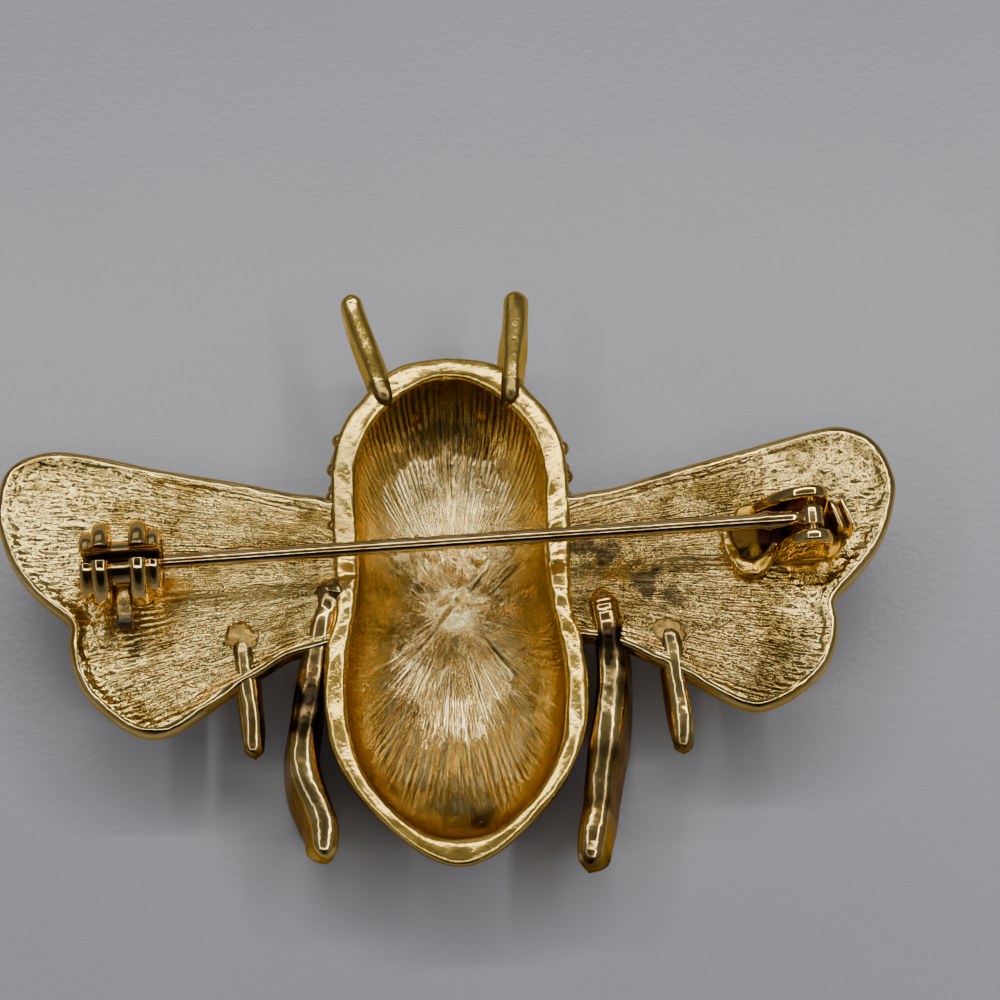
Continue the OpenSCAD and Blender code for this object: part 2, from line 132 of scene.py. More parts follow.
def even_loop(loop: np.ndarray, count: int) -> np.ndarray:
    """Spaces points evenly along a closed loop.

    Args:
        loop: points of the loop, first not repeated.
        count: how many points to return.

    Returns:
        The evenly spaced points.
    """
    ends = np.vstack([loop, loop[:1]])
    run = np.concatenate([[0.0], np.cumsum(np.linalg.norm(np.diff(ends, axis=0), axis=1))])
    at = np.linspace(0, run[-1], count, endpoint=False)
    return np.stack([np.interp(at, run, ends[:, k]) for k in range(loop.shape[1])], axis=1)


def edge_distance(points: np.ndarray, start: np.ndarray, end: np.ndarray) -> np.ndarray:
    """Distance from each point to the nearest of many segments.

    The nearest place on segment p to q is p + clamp((x - p).(q - p) / |q - p|^2, 0, 1)(q - p).

    Args:
        points: places in the plane, one per line.
        start: first end of each segment.
        end: second end of each segment.

    Returns:
        One distance per point.
    """
    run = end - start
    scale = (run**2).sum(axis=1)
    batch = 6000
    found = []
    for part in np.array_split(points, max(1, len(points) // batch)):
        offset = part[:, None, :] - start[None]
        share = np.clip((offset * run[None]).sum(axis=2) / scale, 0, 1)
        found.append(np.linalg.norm(offset - share[..., None] * run[None], axis=2).min(axis=1))
    return np.concatenate(found)


def ease(value: np.ndarray, start: float, end: float) -> np.ndarray:
    """Goes smoothly from 0 at start to 1 at end: 3v^2 - 2v^3 of the share v of the way."""
    v = np.clip((value - start) / (end - start), 0, 1)
    return v * v * (3 - 2 * v)


def signed_power(value: np.ndarray, power: float) -> np.ndarray:
    """Raises a value's size to a power and keeps its sign."""
    return np.sign(value) * np.abs(value) ** power


def value_noise(u: np.ndarray, v: np.ndarray, seed: int) -> np.ndarray:
    """Smooth noise from -1 to 1: random values on a unit lattice, eased between its corners.

    Args:
        u: first coordinate, in lattice steps.
        v: second coordinate, in lattice steps.
        seed: picks the lattice's values.

    Returns:
        Noise of the same shape as u and v together.
    """
    size = 256
    table = np.random.default_rng(seed).uniform(-1, 1, (size, size))
    u, v = np.broadcast_arrays(u, v)
    iu, iv = np.floor(u).astype(int), np.floor(v).astype(int)
    fu, fv = ease(u - iu, 0, 1), ease(v - iv, 0, 1)
    corner = [table[(iu + a) % size, (iv + b) % size] for a in (0, 1) for b in (0, 1)]
    low = corner[0] * (1 - fv) + corner[1] * fv
    high = corner[2] * (1 - fv) + corner[3] * fv
    return low * (1 - fu) + high * fu


def patches(x: np.ndarray, y: np.ndarray, scale: float, seed: int, shift: float = 0.0) -> np.ndarray:
    """Noise from -1 to 1 with scale patches a millimetre, shifted over its lattice."""
    return value_noise(x * scale + shift, y * scale + shift, seed)


def to_frame(points: np.ndarray) -> np.ndarray:
    """Moves points from the waist line's place to the model's, still in millimetres."""
    return points + np.array([0.0, MID_Y, 0.0])


def to_stem(points: np.ndarray, along: float) -> np.ndarray:
    """Moves points from the stem's own frame, shifted along its axis, to the model's.

    Args:
        points: places with X along the stem, from the point that along names.
        along: distance of that point from the brooch's middle line.

    Returns:
        The places in the model's frame, in millimetres.
    """
    x, y, z = points[..., 0] + along, points[..., 1], points[..., 2]
    c, s = math.cos(STEM_TURN), math.sin(STEM_TURN)
    return np.stack([x * c - y * s, x * s + y * c + MID_Y + STEM_UP, z + STEM_Z], axis=-1)


def make_piece(name: str, points: np.ndarray, faces: list, materials: list,
               picks: np.ndarray | None = None, paint: dict | None = None) -> bpy.types.Object:
    """Makes a smooth mesh object from points in millimetres, with outward normals.

    Args:
        name: the piece's name.
        points: vertices in the model's frame, one per line.
        faces: tuples or rows of vertex numbers.
        materials: materials of the piece's slots, in order.
        picks: material slot of each face, or None for the first.
        paint: attribute names to one value per vertex, which the materials read.

    Returns:
        The linked object.
    """
    mesh = bpy.data.meshes.new(name)
    mesh.from_pydata((np.asarray(points) * MM).tolist(), [], [tuple(map(int, f)) for f in faces])
    for material in materials:
        mesh.materials.append(material)
    if picks is not None:
        mesh.polygons.foreach_set("material_index", np.asarray(picks, dtype=np.int32))
    mesh.polygons.foreach_set("use_smooth", np.ones(len(mesh.polygons), dtype=bool))
    skin = bmesh.new()
    skin.from_mesh(mesh)
    bmesh.ops.recalc_face_normals(skin, faces=skin.faces)
    skin.to_mesh(mesh)
    skin.free()
    for key, values in (paint or {}).items():
        layer = mesh.attributes.new(key, "FLOAT", "POINT")
        layer.data.foreach_set("value", np.clip(values, 0, 1).astype(np.float32))
    mesh.update()
    piece = bpy.data.objects.new(name, mesh)
    bpy.context.scene.collection.objects.link(piece)
    return piece


def ring_faces(rings: int, around: int) -> np.ndarray:
    """Quads between neighbouring closed rings whose points are numbered ring after ring.

    Args:
        rings: how many rings there are.
        around: points in a ring.

    Returns:
        Four vertex numbers a line.
    """
    i, j = np.meshgrid(np.arange(rings - 1), np.arange(around), indexing="ij")
    k = (j + 1) % around
    low, high = i * around, (i + 1) * around
    return np.stack([low + j, low + k, high + k, high + j], axis=-1).reshape(-1, 4)


def closed_skin(rings: np.ndarray) -> Mesh:
    """Closes a stack of rings with a pole at each end.

    Args:
        rings: array of ring, place round the ring, and coordinate.

    Returns:
        The points, and the faces: quads ring after ring, then the first pole's fan and the last's.
    """
    count, around, _ = rings.shape
    points = np.vstack([rings.reshape(-1, 3), rings[0].mean(axis=0), rings[-1].mean(axis=0)])
    j = np.arange(around)
    k = (j + 1) % around
    top, pole = (count - 1) * around, np.full(around, count * around)
    fans = [np.stack([pole, k, j], axis=1), np.stack([pole + 1, top + j, top + k], axis=1)]
    return points, ring_faces(count, around).tolist() + np.vstack(fans).tolist()


def prism(outline: np.ndarray, low: float, high: float, axis: int) -> Mesh:
    """A flat plate between two copies of an outline.

    Args:
        outline: corners in the plane, one per line.
        low: place of the first face along the axis.
        high: place of the second.
        axis: which coordinate the thickness runs along.

    Returns:
        Points and faces, in the plate's own frame.
    """
    count = len(outline)
    points = np.insert(np.vstack([outline, outline]), axis, np.repeat([low, high], count), axis=1)
    ends = [list(range(count)), list(range(2 * count - 1, count - 1, -1))]
    return points, ring_faces(2, count).tolist() + ends


def tube(path: np.ndarray, radius: np.ndarray, around: int, flat: float) -> np.ndarray:
    """Rings round a path that lies nearly level, rounded off at both ends.

    Each ring stands across the path: point = centre + radius(cos t side + flat sin t up).

    Args:
        path: centres of the rings.
        radius: radius of each ring.
        around: points in a ring.
        flat: height of a ring as a share of its width.

    Returns:
        The rings, ready to be closed.
    """
    tangent = np.gradient(path, axis=0)
    tangent /= np.linalg.norm(tangent, axis=1, keepdims=True)
    bend = np.radians(TUBE_BEND)
    first = path[0] - tangent[0] * radius[0] * np.sin(bend)[:, None]
    last = path[-1] + tangent[-1] * radius[-1] * np.sin(bend[::-1])[:, None]
    centres = np.vstack([first, path, last])
    radii = np.concatenate([radius[0] * np.cos(bend), radius, radius[-1] * np.cos(bend[::-1])])
    index = np.pad(np.arange(len(path)), len(bend), mode="edge")
    side = np.stack([-tangent[:, 1], tangent[:, 0], np.zeros(len(path))], axis=1)
    side = (side / np.linalg.norm(side, axis=1, keepdims=True))[index]
    up = np.cross(tangent[index], side)
    turn = np.linspace(0, TAU, around, endpoint=False)
    across = np.cos(turn)[None, :, None] * side[:, None, :]
    raised = flat * np.sin(turn)[None, :, None] * up[:, None, :]
    return centres[:, None, :] + radii[:, None, None] * (across + raised)


def slotted_ring(profile: np.ndarray, half_slot: float, steps: int, lip: float, thick: float) -> Mesh:
    """Turns a closed profile round the X axis, open at the top by a slot with parallel sides.

    A point of radius r runs from the angle asin(h / r) beside straight up, round the underside, to
    the same angle on the other side, where h is half of the slot. Over the last of its run h grows by
    lip(1 - sin b) while the profile shrinks about its middle by lip / thick (1 - cos b).

    Args:
        profile: closed outline of place along the axis and radius.
        half_slot: half of the slot's width.
        steps: rings between the two lips.
        lip: rounding of the lips.
        thick: thickness of the wall that the lips end.

    Returns:
        Points and faces, closed at both lips.
    """
    bend = np.radians(LIP_BEND)
    spread = np.concatenate([1 - np.sin(bend), np.ones(steps), (1 - np.sin(bend))[::-1]]) * lip
    shrink = np.concatenate([1 - np.cos(bend), np.zeros(steps), (1 - np.cos(bend))[::-1]]) * lip / thick
    run = np.pad(np.linspace(0, 1, steps), len(bend), mode="edge")
    middle = profile.mean(axis=0)
    shape = middle + (profile - middle)[None] * (1 - shrink)[:, None, None]
    x, r = shape[..., 0], shape[..., 1]
    edge = np.arcsin((half_slot + spread)[:, None] / r)
    angle = edge + run[:, None] * (TAU - 2 * edge)
    return closed_skin(np.stack([x, r * np.sin(angle), r * np.cos(angle)], axis=-1))


def lathe_x(profile: np.ndarray, around: int) -> Mesh:
    """A closed skin turned round the X axis.

    Args:
        profile: rows of place along the axis and radius.
        around: points in a ring.

    Returns:
        Points and faces.
    """
    turn = np.linspace(0, TAU, around, endpoint=False)[None, :]
    x, radius = np.repeat(profile[:, :1], around, axis=1), profile[:, 1:]
    return closed_skin(np.stack([x, radius * np.cos(turn), radius * np.sin(turn)], axis=-1))


def unit_ball(around: int, rows: int) -> Mesh:
    """A ball of radius 1: rings at cos and sin of the polar angle, closed by two poles.

    Args:
        around: points in a ring.
        rows: rings between the poles.

    Returns:
        Points and faces.
    """
    polar = np.linspace(0, math.pi, rows + 2)[1:-1, None]
    turn = np.linspace(0, TAU, around, endpoint=False)[None, :]
    out, level = np.sin(polar), np.cos(polar) * np.ones_like(turn)
    points, faces = closed_skin(np.stack([out * np.cos(turn), out * np.sin(turn), level], axis=-1))
    points[-2:] = [[0, 0, 1], [0, 0, -1]]
    return points, faces


def join_parts(parts: list) -> Mesh:
    """Puts several bodies into one.

    Args:
        parts: the points and faces of each.

    Returns:
        All the points, and the faces numbered through.
    """
    faces, first = [], 0
    for points, part_faces in parts:
        faces += [[int(v) + first for v in face] for face in part_faces]
        first += len(points)
    return np.vstack([points for points, _ in parts]), faces


def add_bevel(piece: bpy.types.Object, width: float, segments: int) -> None:
    """Rounds a piece's hard edges.

    Args:
        piece: the piece.
        width: width of the rounding, in millimetres.
        segments: how many strips make it up.
    """
    bevel = piece.modifiers.new("edge_round", "BEVEL")
    bevel.width = width * MM
    bevel.segments = segments
    bevel.limit_method = "ANGLE"
    bevel.angle_limit = math.radians(35)
    bevel.harden_normals = False


@dataclass(frozen=True)
class Spot:
    """A round, ragged patch of stain on one piece."""

    x: float
    y: float
    radius: float
    strength: float
    firm: float = 1.0

    def mask(self, x: np.ndarray, y: np.ndarray) -> np.ndarray:
        """Strength at each place: it eases off past the radius, broken up by noise.

        Args:
            x: places out from the middle line.
            y: places up from the waist line.

        Returns:
            One strength per place.
        """
        ragged = 0.40 * patches(x, y, 1.6, 61) + 0.20 * patches(x, y, 4.3, 62)
        gap = np.hypot(x - self.x, y - self.y) / self.radius
        return self.strength * ease((1.25 - gap + ragged) * self.firm, 0, 1)


def spots_mask(spots: tuple, x: np.ndarray, y: np.ndarray) -> np.ndarray:
    """The strongest of several spots at each place."""
    return np.max([spot.mask(x, y) for spot in spots] + [np.zeros_like(x)], axis=0)


# Finishes


class NodeBench:
    """Lays out and links the nodes of one shader."""

    def __init__(self, owner: bpy.types.Material | bpy.types.World) -> None:
        """Clears the nodes of a shader's owner and starts on them.

        Args:
            owner: the material or world.
        """
        owner.use_nodes = True
        self.tree = owner.node_tree
        self.tree.nodes.clear()

    def add(self, kind: str, inputs: dict | None = None, **settings: object) -> bpy.types.Node:
        """Adds a node, sets its properties, and sets or links its inputs.

        Args:
            kind: the node's type name.
            inputs: input name or number to a value or an output socket.
            **settings: properties of the node.

        Returns:
            The node.
        """
        node = self.tree.nodes.new(kind)
        for key, value in settings.items():
            setattr(node, key, value)
        for key, value in (inputs or {}).items():
            if isinstance(value, Socket):
                self.tree.links.new(value, node.inputs[key])
            else:
                node.inputs[key].default_value = value
        return node

    def calc(self, operation: str, first: Feed, second: Feed = 0.0, clamp: bool = False) -> Socket:
        """One step of arithmetic on numbers or sockets."""
        inputs = {0: first, 1: second}
        return self.add("ShaderNodeMath", inputs, operation=operation, use_clamp=clamp).outputs[0]

    def place(self, kind: str = "Object") -> Socket:
        """The coordinates of the shaded place."""
        return self.add("ShaderNodeTexCoord").outputs[kind]

    def noise(self, vector: Socket, scale: float, detail: float, roughness: float) -> Socket:
        """Noise from 0 to 1 at a scale in cycles a unit of the vector."""
        inputs = {"Vector": vector, "Scale": scale, "Detail": detail, "Roughness": roughness}
        return self.add("ShaderNodeTexNoise", inputs).outputs["Fac"]

    def ramp(self, factor: Feed, stops: list) -> Socket:
        """A colour ramp.

        Args:
            factor: the place on the ramp.
            stops: rows of place and colour.

        Returns:
            The colour's socket.
        """
        node = self.add("ShaderNodeValToRGB", {"Fac": factor})
        band = node.color_ramp
        while len(band.elements) < len(stops):
            band.elements.new(0.5)
        for element, (place, color) in zip(band.elements, stops):
            element.position = place
            element.color = (*color, 1.0)
        return node.outputs["Color"]

    def blend(self, factor: Feed, first: Socket, second: tuple) -> Socket:
        """Mixes a colour socket with a plain colour; the mix node's colour sockets are 6, 7 and 2."""
        inputs = {0: factor, 6: first, 7: (*second, 1.0)}
        return self.add("ShaderNodeMix", inputs, data_type="RGBA").outputs[2]

    def spread(self, value: Feed, low: float, high: float) -> Socket:
        """Maps 0 to 1 onto low to high."""
        inputs = {"Value": value, "To Min": low, "To Max": high}
        return self.add("ShaderNodeMapRange", inputs).outputs["Result"]

    def paint(self, name: str) -> Socket:
        """A value from 0 to 1 that the mesh carries, or 0 where it carries none."""
        return self.add("ShaderNodeAttribute", attribute_name=name).outputs["Fac"]

    def bump(self, height: Feed, distance: float, under: Socket | None = None) -> Socket:
        """Relief over another relief, if there is one.

        Args:
            height: share of the distance at each place.
            distance: height of the relief, in metres.
            under: normal of the relief below.

        Returns:
            The normal's socket.
        """
        inputs = {"Height": height, "Distance": distance, "Strength": 1.0}
        if under is not None:
            inputs["Normal"] = under
        return self.add("ShaderNodeBump", inputs).outputs["Normal"]

    def polar(self, centre: tuple, around: float, outward: float) -> Socket:
        """Coordinates whose first axis counts lines round a centre and whose second runs outward.

        Args:
            centre: middle of the fan from the waist line, millimetres.
            around: cycles a radian round the centre.
            outward: cycles a metre outward.

        Returns:
            A vector socket.
        """
        middle = (centre[0] * MM, (centre[1] + MID_Y) * MM, 0.0)
        inputs = {0: self.place(), 1: middle}
        offset = self.add("ShaderNodeVectorMath", inputs, operation="SUBTRACT").outputs[0]
        parts = self.add("ShaderNodeSeparateXYZ", {0: offset}).outputs
        angle = self.calc("ARCTAN2", parts[1], parts[0])
        square = self.calc("ADD", self.calc("POWER", parts[0], 2.0), self.calc("POWER", parts[1], 2.0))
        reach = self.calc("SQRT", square)
        inputs = {0: self.calc("MULTIPLY", angle, around), 1: self.calc("MULTIPLY", reach, outward)}
        return self.add("ShaderNodeCombineXYZ", inputs).outputs[0]

    def surface(self, **inputs: object) -> None:
        """Ends a material with one shader, whose inputs are named with _ for each blank."""
        named = {key.replace("_", " "): value for key, value in inputs.items()}
        shader = self.add("ShaderNodeBsdfPrincipled", named)
        self.add("ShaderNodeOutputMaterial", {"Surface": shader.outputs[0]})


@dataclass(frozen=True)
class GoldFinish:
    """Gold plate over a cast or drawn surface, with stains, painted shade and painted reflections where the
    mesh is painted.
    """

    name: str
    pattern: Pattern
    bright: tuple = (0.90, 0.66, 0.23)
    warm: tuple = (0.72, 0.47, 0.13)
    # Warm colour of the amber paint: real amber solder, and painted warm reflection of gold on gold in walls,
    # flanks and recesses
    amber_and_reflection: tuple = (0.72, 0.43, 0.08)
    # Dark colour of the tarnish paint: real stains, and also painted shade and painted dark reflections
    tarnish_and_shade: tuple = (0.10, 0.065, 0.035)
    edge: tuple = (0.92, 0.66, 0.32)
    rough: tuple = (0.12, 0.24)
    rough_stain: float = 0.12
    centre: tuple = (0.0, 0.0)
    lines: float = 60.0
    stroke: float = 2.5
    relief: float = 0.02
    grain: float = 0.004
    stain: float = 0.35
    # Places of the two golds on the colour ramp, and the speck noise's cut and gain
    stops: tuple = (0.36, 0.54)
    speck_cut: tuple = (0.60, 8.0)
    # Noise by what it breaks up: cycles a metre, detail, roughness; draw is cycles a metre by axis
    patch: tuple = (300.0, 3.0, 0.6)
    speck: tuple = (2300.0, 4.0, 0.7)
    wear: tuple = (800.0, 4.0, 0.65)
    fine: tuple = (9000.0, 3.0, 0.7)
    polish: tuple = (800.0, 2.0, 0.5)
    pits: tuple = (4200.0, 2.0, 0.6)
    hammer: tuple = (1700.0, 3.0, 0.6)
    dents: tuple = (2600.0, 3.0, 0.6)
    depth: tuple = (700.0, 2.0, 0.6)
    draw: tuple = (300.0, 6000.0, 6000.0)

    def dress(self) -> bpy.types.Material:
        """Builds the material: colour from patches, stains, painted shade and painted reflection, roughness
        from wear, relief by pattern.

        Returns:
            The material.
        """
        material = bpy.data.materials.new(self.name)
        bench = NodeBench(material)
        place = bench.place()
        cut, gain = self.speck_cut
        speck = bench.calc("SUBTRACT", bench.noise(place, *self.speck), cut)
        speck = bench.calc("MULTIPLY", speck, gain, clamp=True)
        # The painted attributes carry stains and solder colour, and also painted shade and painted reflection
        amber_and_reflection, tarnish_and_shade = bench.paint("amber_and_reflection"), bench.paint("tarnish_and_shade")
        stops = list(zip(self.stops, (self.warm, self.bright)))
        color = bench.ramp(bench.noise(place, *self.patch), stops)
        color = bench.blend(amber_and_reflection, color, self.amber_and_reflection)
        dark = bench.calc("ADD", tarnish_and_shade, bench.calc("MULTIPLY", speck, self.stain), clamp=True)
        wear = bench.spread(bench.noise(place, *self.wear), *self.rough)
        dulled = bench.calc("MULTIPLY", bench.calc("ADD", amber_and_reflection, tarnish_and_shade), self.rough_stain)
        bench.surface(Base_Color=bench.blend(dark, color, self.tarnish_and_shade), Metallic=1.0,
                      Roughness=bench.calc("ADD", wear, dulled, clamp=True),
                      Normal=self.relief_normal(bench, place), Specular_Tint=(*self.edge, 1.0))
        return material

    def relief_normal(self, bench: NodeBench, place: Socket) -> Socket:
        """Relief of the pattern over a fine grain.

        Args:
            bench: the material's bench.
            place: the object coordinates.

        Returns:
            The normal socket.
        """
        relief = self.relief * MM
        fine = bench.bump(bench.noise(place, *self.fine), self.grain * MM)
        if self.pattern is Pattern.POLISHED:
            return bench.bump(bench.noise(place, *self.polish), relief, fine)
        if self.pattern is Pattern.MOTTLED:
            pits = bench.bump(bench.noise(place, *self.pits), 0.4 * relief, fine)
            return bench.bump(bench.noise(place, *self.hammer), relief, pits)
        if self.pattern is Pattern.RAYED:
            return bench.bump(self.strokes(bench, place), relief, fine)
        drawn = bench.add("ShaderNodeMapping", {"Vector": place, "Scale": self.draw}).outputs[0]
        return bench.bump(bench.noise(drawn, 1.0, 2.0, 0.6), relief, fine)

    def strokes(self, bench: NodeBench, place: Socket) -> Socket:
        """Height from 0 to 1 of grooves fanning from the centre, mixed with dents where painted.

        The grooves are sin(2 pi(a + 1.6 n)), where a counts lines round the centre and n is noise
        stretched along them, and their depth comes and goes with a second noise.

        Args:
            bench: the material's bench.
            place: the object coordinates.

        Returns:
            The height socket.
        """
        calc = bench.calc
        fan = bench.polar(self.centre, self.lines, 1 / (self.stroke * MM))
        ragged = calc("MULTIPLY", bench.noise(fan, 0.45, 2.0, 0.5), 1.6)
        count = bench.add("ShaderNodeSeparateXYZ", {0: fan}).outputs[0]
        phase = calc("MULTIPLY", calc("ADD", count, ragged), TAU)
        wave = calc("MULTIPLY", calc("SINE", phase), 0.6)
        depth = bench.spread(bench.noise(place, *self.depth), 0.2, 0.9)
        scratch = calc("MULTIPLY", bench.noise(fan, 1.6, 3.0, 0.6), 0.8)
        lined = calc("ADD", calc("MULTIPLY", wave, depth), scratch)
        share = bench.paint("dented")
        dents = calc("MULTIPLY", bench.noise(place, *self.dents), calc("MULTIPLY", share, 1.3))
        return calc("ADD", calc("MULTIPLY", lined, calc("SUBTRACT", 1.0, share)), dents)


@dataclass(frozen=True)
class FloorFinish:
    """Pale sheet with a soft sheen and a faint fibre."""

    name: str = "pale_sheet"
    color: tuple = (0.385, 0.393, 0.438)
    tones: tuple = (0.96, 1.04)
    roughness: float = 0.30
    fibre: float = 0.02

    def dress(self) -> bpy.types.Material:
        """Builds the material: a pale colour with slow and fine variation.

        Returns:
            The material.
        """
        material = bpy.data.materials.new(self.name)
        bench = NodeBench(material)
        place = bench.place()
        low, high = (tuple(c * tone for c in self.color) for tone in self.tones)
        color = bench.ramp(bench.noise(place, 40.0, 3.0, 0.6), [(0.3, low), (0.7, high)])
        fibre = bench.bump(bench.noise(place, 2200.0, 3.0, 0.6), self.fibre * MM)
        bench.surface(Base_Color=color, Roughness=self.roughness, Normal=fibre)
        return material


class Finishes:
    """All finishes of the brooch, dressed once."""

    def __init__(self) -> None:
        """Builds each material."""
        polished, mottled = Pattern.POLISHED, Pattern.MOTTLED
        rayed = {"pattern": Pattern.RAYED, "rough": (0.09, 0.20), "stain": 0.6}
        self.rim = GoldFinish(
            "mottled_rim", mottled, bright=(0.95, 0.66, 0.16), warm=(0.76, 0.49, 0.09),
            relief=0.036, rough=(0.15, 0.27), stain=0.3).dress()
        # The limb gold's near-black tarnish colour serves painted dark reflections along the legs and
        # antennae, and painted shade on the rivet
        self.limb = GoldFinish(
            "worn_gold", polished, bright=(0.82, 0.58, 0.20), warm=(0.58, 0.35, 0.10),
            tarnish_and_shade=(0.02, 0.012, 0.007), edge=(0.70, 0.42, 0.14), relief=0.11, rough=(0.09, 0.20),
            grain=0.003).dress()
        # The hollow's amber colour is painted warm reflection of gold on gold, low on its walls and at its
        # head
        self.hollow = GoldFinish(
            "brushed_hollow", bright=(0.90, 0.75, 0.36), warm=(0.66, 0.53, 0.23), amber_and_reflection=(0.78, 0.63, 0.25),
            centre=BodyShell.centre, lines=30.0, stroke=2.6, relief=0.12, **rayed).dress()
        # The right wing's golds are darker than the left's: painted shade, the same gold less lit
        self.fields = {
            side: GoldFinish(
                f"wing_field_{word}", bright=bright, warm=warm, centre=(side * Wing.fan[0], Wing.fan[1]),
                lines=64.0, stroke=1.5, relief=0.10, **rayed).dress()
            for side, word, bright, warm in ((-1, "left", (1.0, 0.76, 0.25), (0.46, 0.31, 0.07)),
                                             (1, "right", (0.84, 0.61, 0.20), (0.35, 0.24, 0.06)))
        }
        self.border = GoldFinish("wing_border", polished, relief=0.075, rough=(0.08, 0.18)).dress()
        self.front = GoldFinish(
            "front_gold", mottled, bright=(0.72, 0.48, 0.16), warm=(0.5, 0.3, 0.09)).dress()
        self.finding = GoldFinish(
            "finding_gold", polished, bright=(0.84, 0.60, 0.22), warm=(0.68, 0.44, 0.13), rough=(0.05, 0.11),
            relief=0.010, grain=0.001, stain=0.1).dress()
        self.wire = GoldFinish(
            "wire_gold", Pattern.DRAWN, bright=(0.76, 0.54, 0.22), warm=(0.54, 0.34, 0.11),
            rough=(0.08, 0.16), relief=0.004, grain=0.002, stain=0.45).dress()
        self.lever = GoldFinish(
            "sandy_lever", mottled, bright=(0.58, 0.41, 0.14), warm=(0.36, 0.24, 0.07),
            tarnish_and_shade=(0.07, 0.06, 0.055), rough=(0.22, 0.34), relief=0.07, stain=0.5).dress()
        # The solder's red-brown tarnish colour is painted shade in the joint's pocket, between the ears and
        # at the feet of the blobs
        self.solder = GoldFinish(
            "amber_solder", mottled, bright=(0.90, 0.62, 0.17), warm=(0.66, 0.36, 0.07),
            amber_and_reflection=(0.62, 0.36, 0.04), tarnish_and_shade=(0.025, 0.008, 0.004), rough=(0.12, 0.26), relief=0.06).dress()


# Sub-assemblies


@dataclass
class Assembly:
    """Pieces that are built from their own sizes in the brooch's finishes."""

    finishes: Finishes


